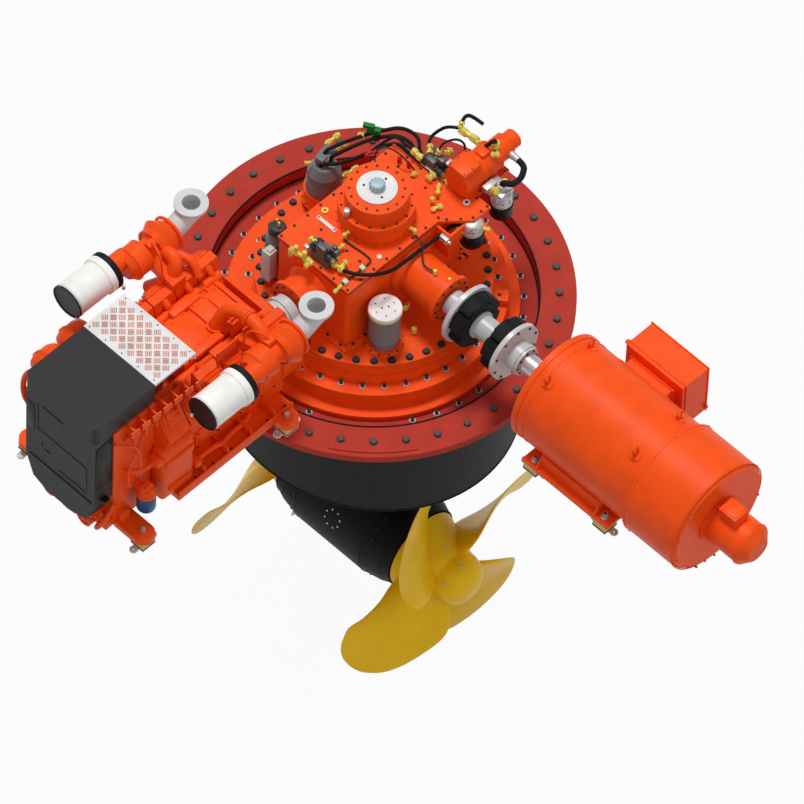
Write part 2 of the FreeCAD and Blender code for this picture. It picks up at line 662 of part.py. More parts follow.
motor_rotor = turned("motor_rotor", [
    ("0", REAR_HUB_END), ("motor_shaft", REAR_HUB_END), ("motor_shaft", "rotor_front"),
    ("rotor_radius", "rotor_front"), ("rotor_radius", "rotor_back"),
    ("motor_shaft", "rotor_back"), ("motor_shaft", "motor_back - 2"),
    ("0", "motor_back - 2")], "X", ("0", "0", "input_height"))
keep(motor_rotor, "motor_rotor")
motor_cowl = turned("motor_cowl", [
    ("cowl_radius - cowl_wall", "0"), ("cowl_radius - 12", "0"), ("cowl_radius", "12"),
    ("cowl_radius", "cowl_back - motor_back - 40"), ("cowl_radius - 40", "cowl_back - motor_back"),
    ("0", "cowl_back - motor_back"), ("0", "cowl_back - motor_back - cowl_wall"),
    ("cowl_radius - 60", "cowl_back - motor_back - cowl_wall"),
    ("cowl_radius - 60", "cowl_wall"), ("motor_shaft + 40", "cowl_wall"),
    ("motor_shaft + 40", "0")], "X", ("motor_back", "0", "input_height"))
keep(motor_cowl, "motor_cowl")
fan_case = turned("fan_case", [
    ("0", "0"), ("fan_radius + 25", "0"), ("fan_radius + 25", "20"), ("fan_radius", "20"),
    ("fan_radius", "fan_back - cowl_back"),
    ("fan_cap_radius", "fan_back - cowl_back + fan_cap_length"),
    ("0", "fan_back - cowl_back + fan_cap_length")], "X", ("cowl_back", "0", "input_height"))
sizes(fan_box_length=170, fan_box_width=150, fan_box_height=90)
fan_box = box("fan_box", ("fan_box_length", "fan_box_width", "fan_radius + fan_box_height"),
              ("cowl_back + 70", "-fan_box_width / 2", "input_height"))
keep(fuse("fan_unit", fan_case, fan_box), "cooling_fan")

sizes(terminal_front=2213, terminal_back=2834, terminal_near=600, terminal_far=893,
      terminal_bottom=342, terminal_top=896, terminal_neck_front=2290, terminal_neck_back=2735,
      terminal_neck_bottom=545, terminal_neck_top=790)
terminal_case = new_body("terminal_case")
pad(terminal_case, outline(terminal_case, [
    ("0", "0"), ("terminal_back - terminal_front", "0"),
    ("terminal_back - terminal_front", "terminal_far - terminal_near"),
    ("0", "terminal_far - terminal_near")]), "terminal_top - terminal_bottom")
place(terminal_case, "Z", ("terminal_front", "terminal_near", "terminal_bottom"))
terminal_neck = box("terminal_neck", (
    "terminal_neck_back - terminal_neck_front", "terminal_near - 300",
    "terminal_neck_top - terminal_neck_bottom"),
    ("terminal_neck_front", "300", "terminal_neck_bottom"))
motor_envelope = cylinder("motor_envelope", "motor_radius", "motor_back - motor_front", "X",
                          ("motor_front", "0", "input_height"))
keep(cut("terminal_parts", fuse("terminal_body", terminal_case, terminal_neck), motor_envelope),
     "terminal_box")

# Feet of the motor: on each side a plate with a welded box and two gussets, cut to the tube.
sizes(foot_front=2180, foot_back=3120, foot_outer=530, foot_inner=330, foot_height=370,
      foot_plate=30, foot_web_front=2345, foot_web_back=2955, foot_web_outer=470,
      foot_web_height=130, gusset=20, motor_mount_front=2265, motor_mount_back=3034,
      motor_mount_side=460)


def motor_foot(label, side):
    """One foot on the +Y side or the -Y side, before it is cut to the motor's tube."""
    low = "foot_inner" if side > 0 else "-foot_outer"
    web_low = "foot_inner" if side > 0 else "-foot_web_outer"
    plate = box(f"{label}_plate", ("foot_back - foot_front", "foot_outer - foot_inner", "foot_plate"),
                ("foot_front", low, "foot_height"))
    web = box(f"{label}_web", ("foot_web_back - foot_web_front", "foot_web_outer - foot_inner",
                               "foot_web_height"),
              ("foot_web_front", web_low, "foot_height + foot_plate"))
    parts = [plate, web]
    for number, start in enumerate(("foot_web_front - gusset", "foot_web_back")):
        rise = f"{side} * foot_outer"
        parts.append(prism(f"{label}_gusset_{number}", [
            (rise, "foot_height + foot_plate"), (f"{side} * foot_inner", "foot_height + foot_plate"),
            (f"{side} * foot_inner", "foot_height + foot_plate + 2 * foot_web_height"),
            (f"{side} * (foot_web_outer - 20)", "foot_height + foot_plate + foot_web_height")],
            "gusset", "X", (start, "0", "0")))
    return fuse(label, *parts)


foot_tube = cylinder("foot_tube", "motor_radius", "motor_back - motor_front", "X",
                     ("motor_front", "0", "input_height"))
near_foot = cut("near_foot_cut", motor_foot("near_foot", -1), foot_tube)
far_foot = cut("far_foot_cut", motor_foot("far_foot", 1), foot_tube)
keep(group("feet", near_foot, far_foot), "motor_feet")

# Engine: a crankcase with a front case, two banks of cylinder heads, a black hood and front box
# with a step plate behind them, side rails on rubber mounts and a flywheel housing.
sizes(engine_rear=1450, engine_cover_back=2881, engine_front=3533, crank_half=400,
      pan_half=250, pan_bottom=330, crank_bottom=440, block_shoulder=900, bank_outer=480,
      bank_top=1230, valley_half=120, valley_height=1080, front_case_end=3330,
      front_case_top=1660, crank_journal=90, crank_reach=120)
crankcase = prism("crankcase", [
    ("-pan_half", "pan_bottom"), ("pan_half", "pan_bottom"), ("crank_half - 60", "crank_bottom - 60"),
    ("crank_half", "crank_bottom"), ("crank_half", "block_shoulder"), ("bank_outer", "bank_top - 180"),
    ("valley_half + 170", "bank_top + 60"), ("valley_half", "valley_height"),
    ("-valley_half", "valley_height"), ("-valley_half - 170", "bank_top + 60"),
    ("-bank_outer", "bank_top - 180"), ("-crank_half", "block_shoulder"),
    ("-crank_half", "crank_bottom"), ("60 - crank_half", "crank_bottom - 60")],
    "engine_cover_back - engine_rear", "-Y", ("0", "-engine_rear", "0"))
front_case = box("front_case", ("2 * crank_half", "front_case_end - engine_cover_back",
                                "front_case_top - crank_bottom"),
                 ("-crank_half", "-front_case_end", "crank_bottom"))
crank_bore = cylinder("crank_bore", "crank_journal + running_fit", "crank_reach", "-Y",
                      ("0", "-engine_rear", "input_height"))
keep(cut("engine_bored", fuse("engine_casting", crankcase, front_case), crank_bore), "engine_block")

sizes(heads=6, head_gap=12, head_rise=230, head_lean=90)


def cylinder_head(label, side):
    """A row of six separate heads on one bank."""
    body = new_body(label)
    pitch = "((engine_cover_back - engine_rear) / heads)"
    sketch = outline(body, [
        (f"{side} * (valley_half + 170)", "bank_top + 60"), (f"{side} * bank_outer", "bank_top - 180"),
        (f"{side} * (bank_outer + head_lean)", "bank_top - 180 + head_rise"),
        (f"{side} * (bank_outer + head_lean - 60)", "bank_top - 100 + head_rise"),
        (f"{side} * (valley_half + 210 + head_lean)", "bank_top + 60 + head_rise"),
        (f"{side} * (valley_half + 170 + head_lean - 40)", "bank_top + 60 + head_rise")],
        lift="head_gap / 2")
    head = pad(body, sketch, f"{pitch} - head_gap")
    row = body.newObject("PartDesign::LinearPattern", label + "_row")
    row.Originals = [head]
    row.Direction = (sketch, ["N_Axis"])
    bind(row, Length=f"{pitch} * (heads - 1)", Occurrences="heads")
    body.Tip = row
    return place(body, "-Y", ("0", "-engine_rear", "0"))


keep(group("head_rows", cylinder_head("right_heads", 1), cylinder_head("left_heads", -1)),
     "cylinder_heads")

sizes(front_top=1887, hood_height=197, hood_corner=60, front_box_bottom=545)
hood = prism("hood", [
    ("-crank_half", "front_top - hood_height"), ("crank_half", "front_top - hood_height"),
    ("crank_half", "front_top"), ("-crank_half", "front_top")],
    "engine_front - engine_cover_back")
rounded(hood, "hood_corner", lambda edge: (
    abs(edge.tangentAt(edge.FirstParameter).y) > 0.9
    and edge.CenterOfMass.z > read("engine_front") - read("engine_cover_back") - 5))
place(hood, "-Y", ("0", "-engine_cover_back", "0"))
front_box = prism("front_box", [
    ("-150", "front_box_bottom"), ("150", "front_box_bottom"), ("300", "front_box_bottom + 65"),
    ("crank_half - 15", "front_box_bottom + 300"), ("crank_half - 15", "front_top - hood_height + 20"),
    ("15 - crank_half", "front_top - hood_height + 20"), ("15 - crank_half", "front_box_bottom + 300"),
    ("-300", "front_box_bottom + 65")], "engine_front - 12 - front_case_end", "-Y",
    ("0", "-front_case_end", "0"))
keep(fuse("front_covers", hood, front_box), "engine_front_cover")

sizes(step_back=2432, step_top=1900, step_thickness=30, step_leg=20)
step_tread = box("step_tread", ("2 * crank_half", "engine_cover_back - step_back", "step_thickness"),
                 ("-crank_half", "-engine_cover_back", "step_top - step_thickness"))
step_leg_box = box("step_leg_box", ("2 * valley_half - 10", "step_leg",
                                    "step_top - step_thickness - valley_height"),
                   ("5 - valley_half", "-step_back - step_leg - 60", "valley_height"))
keep(fuse("step", step_tread, step_leg_box), "engine_step_plate")

sizes(rail_inner=400, rail_outer=590, rail_top=480, rail_thickness=60, rail_front=2780,
      rail_rear=1500, engine_mount_side=635, engine_mount_front=3223, engine_mount_rear=1622,
      arm_width=190, arm_end_radius=95, engine_mount_height=420)


def engine_rail(label, side):
    """A side rail with a rounded mounting arm at each end."""
    rail = box(f"{label}_rail", ("rail_outer - rail_inner", "rail_front - rail_rear", "rail_thickness"),
               ("rail_inner" if side > 0 else "-rail_outer", "-rail_front", "rail_top - rail_thickness"))
    parts = [rail]
    for number, along in enumerate(("engine_mount_front", "engine_mount_rear")):
        arm = box(f"{label}_arm_{number}", ("engine_mount_side - rail_inner", "arm_width",
                                            "rail_top - engine_mount_height"),
                  ("rail_inner" if side > 0 else "-engine_mount_side",
                   f"-{along} - arm_width / 2", "engine_mount_height"))
        end = cylinder(f"{label}_end_{number}", "arm_end_radius", "rail_top - engine_mount_height",
                       at=(f"{side} * engine_mount_side", f"-{along}", "engine_mount_height"))
        parts += [arm, end]
    return fuse(label, *parts)


keep(group("rails", engine_rail("right_side", 1), engine_rail("left_side", -1)),
     "engine_side_rails")

sizes(flywheel_housing_radius=420, flywheel_housing_wall=30, bell_length=200, flywheel_radius=340,
      flywheel_width=90, flywheel_start=340, coupling_gap=30, joint_flange=170,
      joint_flange_start=150, joint_flange_end=180)
flywheel_housing = turned("flywheel_housing", [
    ("flywheel_housing_radius - flywheel_housing_wall", "0"), ("flywheel_housing_radius", "0"),
    ("flywheel_housing_radius", "bell_length - 40"), ("flywheel_housing_radius - 50", "bell_length"),
    ("hub_radius + 40", "bell_length"), ("hub_radius + 40", "bell_length - 25"),
    ("flywheel_housing_radius - flywheel_housing_wall", "bell_length - 60")],
    "Y", ("0", "-engine_rear", "input_height"))
keep(flywheel_housing, "flywheel_housing")
CRANK_END = "(engine_rear + crank_reach - 10 - engine_neck_reach - coupling_gap)"
engine_coupling = turned("engine_coupling", [
    ("input_shaft", "0"), ("rear_hub_radius", "0"), ("rear_hub_radius", "joint_flange_start"),
    ("joint_flange", "joint_flange_start"), ("joint_flange", "joint_flange_end"),
    ("rear_hub_radius", "joint_flange_end"),
    ("rear_hub_radius", "flywheel_start"), ("flywheel_radius", "flywheel_start"),
    ("flywheel_radius", "flywheel_start + flywheel_width"),
    ("crank_journal", "flywheel_start + flywheel_width"),
    ("crank_journal", CRANK_END), ("0", CRANK_END),
    ("0", "engine_shaft_end - engine_neck_reach - coupling_gap"),
    ("input_shaft", "engine_shaft_end - engine_neck_reach - coupling_gap")],
    "-Y", ("0", "-engine_neck_reach - coupling_gap", "input_height"))
keep(engine_coupling, "engine_coupling")

# Turbochargers, their exhaust outlets and the two air filters.
sizes(turbo_across=700, turbo_height=1650, turbo_back=1620, turbo_radius=150, turbo_length=520,
      outlet_across=700, outlet_along=1396, outlet_height=1833, outlet_flange=140.5,
      outlet_bend=1735, outlet_bore=75, outlet_pipe=92, outlet_thickness=28, filter_across=757, filter_height=1693,
      filter_front=2703, filter_radius=152, filter_length=470, filter_ring=166, duct_radius=85,
      duct_overlap=60, turbo_nose=110, turbo_waist=95, waist_start=230, waist_end=300, volute_bore=60,
      volute_rim=185, volute_shoulder=150, volute_half_width=60, volute_back=110, leg_inside=345,
      leg_outside=415, leg_width=150)


def slanted(label, radius, start, end):
    """A cylinder from one point to another, its start bound to the sizes."""
    made = new("Part::Cylinder", label)
    run = Vector(*[end[k] - start[k] for k in range(3)])
    bind(made, Radius=radius)
    made.Height = run.Length
    made.Placement = Placement(Vector(*start), Rotation(Vector(0, 0, 1), run))
    return made


def intake_duct(label, side):
    """The duct from the turbocharger's inlet to the back of its air filter."""
    length = "filter_front - filter_length - turbo_back - turbo_length + duct_overlap"
    return cylinder(label, "duct_radius", length, "-Y", (
        f"{side} * filter_across", "duct_overlap - turbo_back - turbo_length", "filter_height"))


def turbocharger(label, side):
    barrel = turned(f"{label}_barrel", [
        ("0", "0"), ("turbo_nose", "0"), ("turbo_radius", "60"), ("turbo_radius", "waist_start - 40"),
        ("turbo_waist", "waist_start"), ("turbo_waist", "waist_end"),
        ("turbo_radius - 10", "waist_end + 30"), ("turbo_radius - 10", "turbo_length - 60"),
        ("turbo_nose - 10", "turbo_length"), ("0", "turbo_length")], "-Y",
        (f"{side} * turbo_across", "-turbo_back", "turbo_height"))
    volute = turned(f"{label}_volute", [
        ("volute_bore", "15 - volute_half_width"), ("volute_shoulder", "15 - volute_half_width"),
        ("volute_rim", "0"), ("volute_shoulder", "volute_half_width"),
        ("volute_bore", "volute_half_width")], "-Y",
        (f"{side} * turbo_across", "-turbo_back - volute_back", "turbo_height"))
    head_top = "(bank_top + 60 + head_rise)"
    leg = prism(f"{label}_leg", [
        (f"{side} * leg_inside", head_top), (f"{side} * leg_outside", head_top),
        (f"{side} * (turbo_across - 100)", "turbo_height - 90"),
        (f"{side} * (turbo_across - 20)", "turbo_height - 60"),
        (f"{side} * (turbo_across - 80)", "turbo_height + 20"),
        (f"{side} * leg_inside", f"{head_top} + 60")],
        "leg_width", "-Y", ("0", "-turbo_back - 180", "0"))
    return fuse(label, barrel, volute, leg, intake_duct(f"{label}_duct", side))


keep(group("turbos", turbocharger("right_turbo", 1), turbocharger("left_turbo", -1)),
     "turbochargers")


def outlet_run(label, side, radius, top):
    """The inside or outside of an outlet: upright, round the elbow and down to the turbocharger."""
    across = f"{side} * outlet_across"
    bend = (side * read("outlet_across"), -read("outlet_along"), read("outlet_bend"))
    foot = (side * read("turbo_across"), -read("turbo_back"), read("turbo_height"))
    upright = cylinder(f"{label}_upright", radius, f"{top} - outlet_bend",
                       at=(across, "-outlet_along", "outlet_bend"))
    elbow = new("Part::Sphere", f"{label}_elbow")
    bind(elbow, Radius=radius)
    place(elbow, "Z", (across, "-outlet_along", "outlet_bend"))
    return fuse(label, upright, elbow, slanted(f"{label}_slope", radius, bend, foot))


def exhaust_outlet(label, side):
    """A round flange on a pipe that slopes down to the back of the turbocharger."""
    flange = cylinder(f"{label}_flange", "outlet_flange", "outlet_thickness",
                      at=(f"{side} * outlet_across", "-outlet_along",
                          "outlet_height - outlet_thickness"))
    pipe = outlet_run(f"{label}_pipe", side, "outlet_pipe", "(outlet_height - 1)")
    bore = outlet_run(f"{label}_bore", side, "outlet_bore", "outlet_height")
    beyond = box(f"{label}_beyond", ("400", "300", "600"),
                 (f"{side} * outlet_across - 200", "-turbo_back - 300", "turbo_height - 300"))
    return cut(label, fuse(f"{label}_body", flange, pipe), bore, beyond)


keep(group("outlets", exhaust_outlet("right_outlet", 1), exhaust_outlet("left_outlet", -1)),
     "exhaust_outlets")


def air_filter(label, side):
    return turned(label, [
        ("0", "0"), ("filter_radius - 15", "0"), ("filter_radius", "15"),
        ("filter_radius", "filter_length - 130"), ("filter_ring", "filter_length - 130"),
        ("filter_ring", "filter_length - 70"), ("filter_radius - 10", "filter_length - 70"),
        ("110", "filter_length"), ("0", "filter_length")], "Y",
        (f"{side} * filter_across", "-filter_front", "filter_height"))


keep(group("filters", air_filter("right_filter", 1), air_filter("left_filter", -1)), "air_filters")

sizes(oil_filter_across=520, oil_filter_along=3079, oil_filter_height=560, oil_filter_radius=78,
      oil_filter_length=190, oil_filter_head=70)
filter_can = turned("filter_can", [
    ("0", "0"), ("oil_filter_radius - 20", "0"), ("oil_filter_radius", "25"),
    ("oil_filter_radius", "oil_filter_length"), ("oil_filter_radius - 18", "oil_filter_length"),
    ("oil_filter_radius - 18", "oil_filter_length + oil_filter_head"),
    ("0", "oil_filter_length + oil_filter_head")],
    at=("oil_filter_across", "-oil_filter_along", "oil_filter_height"))
filter_arm = box("filter_arm", ("oil_filter_across - crank_half", "80", "60"),
                 ("crank_half", "-oil_filter_along - 40",
                  "oil_filter_height + oil_filter_length + 5"))
filter_arm_cut = cut("filter_arm_cut", filter_arm, cylinder(
    "filter_arm_seat", "oil_filter_radius - 18", "400",
    at=("oil_filter_across", "-oil_filter_along", "oil_filter_height")))
keep(group("oil_filter_parts", filter_can, filter_arm_cut), "oil_filter")

# Rubber mounts: yellow blocks under each machine's feet, on plates with an ear at each end.
sizes(mount_half=68, mount_block_height=72, mount_plate_height=14, ear_reach=105, ear_radius=34,
      ear_hole=9, mount_bolt=14, mount_bolt_height=46)


def rubber_mount(label, across, along, top):
    """A tapered square block below a foot and the bolt that stands through the foot."""
    body = new_body(label)
    pad(body, outline(body, [
        ("-mount_half", "-mount_half"), ("mount_half", "-mount_half"),
        ("mount_half", "mount_half"), ("-mount_half", "mount_half")]), "mount_block_height")
    return place(body, "Z", (across, along, f"{top} - mount_block_height"))


def mount_plate(label, across, along, top, axis):
    """A plate below a rubber mount with an ear and a bolt hole at each end."""
    body = new_body(label)
    for reach, half in (("mount_half", "mount_half"), ("ear_reach", "ear_radius * 0.9")):
        pad(body, outline(body, [(f"-{reach}", f"-{half}"), (reach, f"-{half}"), (reach, half),
                                 (f"-{reach}", half)]), "mount_plate_height")
    for ear in ("ear_reach", "-ear_reach"):
        pad(body, circles(body, [(ear, "0", "ear_radius")]), "mount_plate_height")
    pocket(body, circles(body, [("ear_reach", "0", "ear_hole"), ("-ear_reach", "0", "ear_hole")],
                         lift="mount_plate_height"))
    return place(body, axis, (across, along, f"{top} - mount_block_height - mount_plate_height"))


blocks = []
plates = []
bolts = []
for number, (across, along, top, axis) in enumerate([
        ("motor_mount_front", "-motor_mount_side", "foot_height", "Z"),
        ("motor_mount_back", "-motor_mount_side", "foot_height", "Z"),
        ("motor_mount_front", "motor_mount_side", "foot_height", "Z"),
        ("motor_mount_back", "motor_mount_side", "foot_height", "Z"),
        ("engine_mount_side", "-engine_mount_front", "engine_mount_height", "Z turned"),
        ("-engine_mount_side", "-engine_mount_front", "engine_mount_height", "Z turned"),
        ("engine_mount_side", "-engine_mount_rear", "engine_mount_height", "Z turned"),
        ("-engine_mount_side", "-engine_mount_rear", "engine_mount_height", "Z turned")]):
    blocks.append(rubber_mount(f"block_{number}", across, along, top))
    plates.append(mount_plate(f"base_{number}", across, along, top, axis))
    deck = "foot_plate" if axis == "Z" else "rail_top - engine_mount_height"
    bolts.append(prism(f"nut_{number}", regular("0", "0", "mount_bolt * 1.6", 6),
                       "mount_bolt_height", at=(across, along, f"{top} + {deck}")))
keep(group("rubber_blocks", *blocks), "rubber_mounts")
keep(group("base_plates", *plates), "mount_base_plates")
keep(group("nuts", *bolts), "mount_nuts")

# Oil tank: a small header tank on the top plate, beside the gearbox.
sizes(tank_across=566, tank_along=455, tank_radius=130, tank_height=462, tank_foot=143,
      tank_rim=136, tank_lid=24, tank_foot_height=22, tank_neck=110, tank_neck_top=60, tank_shoulder=110)
oil_tank = turned("oil_tank", [
    ("0", "0"), ("tank_foot", "0"), ("tank_foot", "tank_foot_height"), ("tank_neck", "tank_foot_height"),
    ("tank_neck", "tank_neck_top"), ("tank_radius", "tank_shoulder"),
    ("tank_radius", "tank_height - tank_lid - 24"),
    ("tank_rim", "tank_height - tank_lid - 20"), ("tank_rim", "tank_height - tank_lid"),
    ("0", "tank_height - tank_lid")], at=("tank_across", "-tank_along", PLATE_TOP))
keep(oil_tank, "oil_tank")
tank_lid = turned("tank_lid", [
    ("0", "0"), ("tank_rim", "0"), ("tank_rim", "tank_lid - 5"), ("tank_rim - 5", "tank_lid"),
    ("0", "tank_lid")], at=("tank_across", "-tank_along", f"{PLATE_TOP} + tank_height - tank_lid"))
keep(tank_lid, "oil_tank_lid")

# Hydraulics: a pump with its electric motor on a shelf behind the gearbox, two filters, two
# valve blocks and the hoses and pipes between them.
sizes(pump_across=300, pump_near=600, pump_radius=130, pump_length=560, pump_lift=142,
      pump_cap_radius=82, pump_cap_length=110, shelf_inner=170, shelf_outer=430, shelf_far=1080,
      pump_box_length=190, pump_box_width=170, pump_box_height=165)
PUMP_HEIGHT = f"({COVER_TOP} + pump_lift)"
pump_motor = turned("pump_motor", [
    ("0", "0"), ("pump_radius", "0"), ("pump_radius", "pump_length - 160"),
    ("pump_radius - 22", "pump_length - 130"), ("pump_radius - 22", "pump_length"),
    ("pump_cap_radius", "pump_length"), ("pump_cap_radius", "pump_length + pump_cap_length - 14"),
    ("pump_cap_radius - 14", "pump_length + pump_cap_length"),
    ("0", "pump_length + pump_cap_length")], "Y", ("pump_across", "pump_near", PUMP_HEIGHT))
pump_box = box("pump_box", ("pump_box_width", "pump_box_length", "pump_box_height"),
               ("pump_across - pump_box_width / 2", "pump_near", PUMP_HEIGHT))
pump_foot = box("pump_foot", ("shelf_outer - shelf_inner - 60", "pump_length - 200", "pump_lift"),
                ("shelf_inner + 30", "pump_near + 20", COVER_TOP))
pump_shelf = box("pump_shelf", ("shelf_outer - shelf_inner", "shelf_far - wing_end", "cover_thickness"),
                 ("shelf_inner", "wing_end", BOX_TOP))
keep(fuse("pump", pump_motor, pump_box, pump_foot, pump_shelf), "pump_unit")

sizes(filter_can_across=565, filter_can_along=525, second_can_along=856, can_radius=100,
      can_length=157, can_head_radius=84, can_head_length=130, second_can_lift=78)


def spin_filter(label, along, lift):
    """A filter can that hangs from its head."""
    can = turned(f"{label}_can", [
        ("0", "0"), ("can_radius - 30", "0"), ("can_radius", "30"), ("can_radius", "can_length"),
        ("0", "can_length")],
        at=("filter_can_across", along, f"{BOX_TOP} - can_head_length - can_length + {lift}"))
    head = cylinder(f"{label}_head", "can_head_radius", "can_head_length",
                    at=("filter_can_across", along, f"{BOX_TOP} - can_head_length + {lift}"))
    return [can, head]


filter_bridge = box("filter_bridge", (
    "filter_can_across + 60 - shelf_outer", "140", "cover_thickness"),
    ("shelf_outer", "second_can_along - 70", f"{BOX_TOP} + second_can_lift"))
bridge_leg = box("bridge_leg", ("30", "140", "second_can_lift"),
                 ("shelf_outer", "second_can_along - 70", f"{BOX_TOP}"))
keep(group("filters_and_heads", *spin_filter("near_filter", "filter_can_along", "0"),
           *spin_filter("far_filter", "second_can_along", "second_can_lift"),
           fuse("filter_bracket", filter_bridge, bridge_leg)), "hydraulic_filters")

sizes(valve_across=-70, valve_along=-670, valve_length=190, valve_width=120, valve_height=85,
      coil_radius=33, coil_length=75, rear_valve_across=-90, rear_valve_along=600,
      rear_valve_height=70)


def valve_block(label, across, along, height):
    """A manifold block with two solenoid valves on it, their coils lying along X."""
    parts = [box(f"{label}_manifold", ("valve_length", "valve_width", "valve_height"),
                 (across, along, height))]
    for number in range(2):
        middle = f"{along} + valve_width * {0.27 + 0.46 * number}"
        parts.append(box(f"{label}_valve_{number}", ("valve_length * 0.5", "coil_radius * 1.5", "60"),
                         (f"{across} + valve_length / 4", f"{middle} - coil_radius * 0.75",
                          f"{height} + valve_height")))
        for end, start in (("low", f"{across} + valve_length / 4 - coil_length"),
                           ("high", f"{across} + valve_length * 0.75")):
            parts.append(cylinder(f"{label}_{end}_coil_{number}", "coil_radius * 0.8", "coil_length",
                                  "X", (start, middle, f"{height} + valve_height + 30")))
    return fuse(label, *parts)


front_valves = valve_block("front_valves", "valve_across", "valve_along", COVER_TOP)
rear_valves = valve_block("rear_valves", "rear_valve_across", "rear_valve_along",
                          f"{COVER_TOP} - rear_valve_height")
rear_bracket = box("rear_valve_bracket", ("valve_length", "40", "200"),
                   ("rear_valve_across", "box_back", f"{COVER_TOP} - rear_valve_height - 200"))
keep(group("valves", front_valves, fuse("rear_valve_group", rear_valves, rear_bracket)),
     "valve_blocks")


def tube(radius, route):
    """A round tube along straight runs joined by tangent arcs."""
    points = [Vector(*point) for point in route]
    edges = []
    start = points[0]
    for before, corner, after in zip(points, points[1:], points[2:]):
        back = (before - corner)
        ahead = (after - corner)
        turn = math.pi - back.getAngle(ahead)
        reach = 0.45 * min(back.Length, ahead.Length)
        back.normalize()
        ahead.normalize()
        bend = reach / math.tan(turn / 2)
        arc_start = corner + back * reach
        arc_end = corner + ahead * reach
        middle = back + ahead
        middle.normalize()
        centre = corner + middle * math.hypot(reach, bend)
        arc_middle = centre - middle * bend
        edges.append(Part.LineSegment(start, arc_start).toShape())
        edges.append(Part.Arc(arc_start, arc_middle, arc_end).toShape())
        start = arc_end
    edges.append(Part.LineSegment(start, points[-1]).toShape())
    spine = Part.Wire(edges)
    circle = Part.Circle(points[0], points[1] - points[0], radius)
    return spine.makePipeShell([Part.Wire([circle.toShape()])], True, False)


sizes(hose_radius=16, thick_hose_radius=26)
HOSES = [
    ("hose_radius", [(120.5, -610, 1085), (230, -610, 1085), (350, -560, 1095), (445, -440, 1075),
                     (462, -290, 1000), (452, -130, 960), (446, 80, 935), (445, 260, 920),
                     (455, 406, 945), (506.9, 462.3, 945)]),
    ("thick_hose_radius", [(408.5, 1120, 1182), (480, 1120, 1182), (565, 1110, 1180),
                           (628, 1010, 1180), (630, 900, 1196), (566, 856, 1214),
                           (565, 856, 1118.5)]),
    ("hose_radius", [(-800, 225, 810.5), (-800, 225, 900), (-720, 380, 960), (-620, 560, 1000),
                     (-480, 770, 1025), (-320, 810, 1020), (-200, 698, 1010), (-90.5, 698, 1010)]),
    ("hose_radius", [(-735, 225, 810.5), (-735, 225, 880), (-670, 370, 930), (-590, 540, 975),
                     (-460, 700, 1000), (-320, 730, 1005), (-200, 658, 1010), (-90.5, 658, 1010)]),
    ("hose_radius", [(-760, 140, 810.5), (-760, 140, 850), (-650, 220, 870), (-560, 400, 900),
                     (-490, 580, 940), (-410, 660, 975), (-300, 650, 990), (-200, 619, 1005),
                     (-90.5, 619, 1005)]),
]
hoses = [shape_piece(f"hose_{number}", tube(read(size), route))
         for number, (size, route) in enumerate(HOSES)]
keep(group("hoses", *hoses), "hydraulic_hoses")

# Lifting eyes on the motor and the engine.
sizes(eye_ring=32, eye_bar=9, eye_stem=22, eye_spread=250, eye_front=2150, eye_back=3120)


def lifting_eye(label, across, along, height):
    """An eye ring standing on a short stem."""
    ring = new("Part::Torus", f"{label}_ring")
    bind(ring, Radius1="eye_ring", Radius2="eye_bar")
    place(ring, "X", (across, along, f"{height} + eye_stem + eye_ring"))
    stem = cylinder(f"{label}_stem", "eye_stem", "eye_stem + 12", at=(across, along, f"{height} - 8"))
    return fuse(label, ring, stem)


EYE_HEIGHT = "input_height + sqrt(motor_radius ^ 2 - eye_spread ^ 2)"
eye_parts = [lifting_eye(f"eye_{number}", across, f"{side} * eye_spread", EYE_HEIGHT)
             for number, (across, side) in enumerate([
                 ("eye_front", -1), ("eye_front", 1), ("eye_back", -1), ("eye_back", 1)])]
eye_envelope = cylinder("eye_envelope", "motor_radius", "motor_back - motor_front", "X",
                        ("motor_front", "0", "input_height"))
keep(group("eyes", *[cut(f"eye_cut_{number}", eye, eye_envelope)
                     for number, eye in enumerate(eye_parts)]), "lifting_eyes")

# Steering pipe: hangs from the ring gear and carries the strut.
sizes(pipe_wall=30, pipe_flange=600, pipe_flange_thickness=40, pipe_bottom=1480,
      pipe_foot=520, pipe_foot_thickness=40)
RING_TOP = "(ring_bottom + ring_height)"
steering_pipe = turned("steering_pipe", [
    ("pipe_radius - pipe_wall", f"{RING_TOP} + pipe_flange_thickness"),
    ("pipe_flange", f"{RING_TOP} + pipe_flange_thickness"), ("pipe_flange", RING_TOP),
    ("pipe_radius", RING_TOP), ("pipe_radius", "pipe_foot_thickness - pipe_bottom"),
    ("pipe_foot", "pipe_foot_thickness - pipe_bottom"), ("pipe_foot", "-pipe_bottom"),
    ("pipe_radius - pipe_wall", "-pipe_bottom")])
keep(steering_pipe, "steering_pipe")

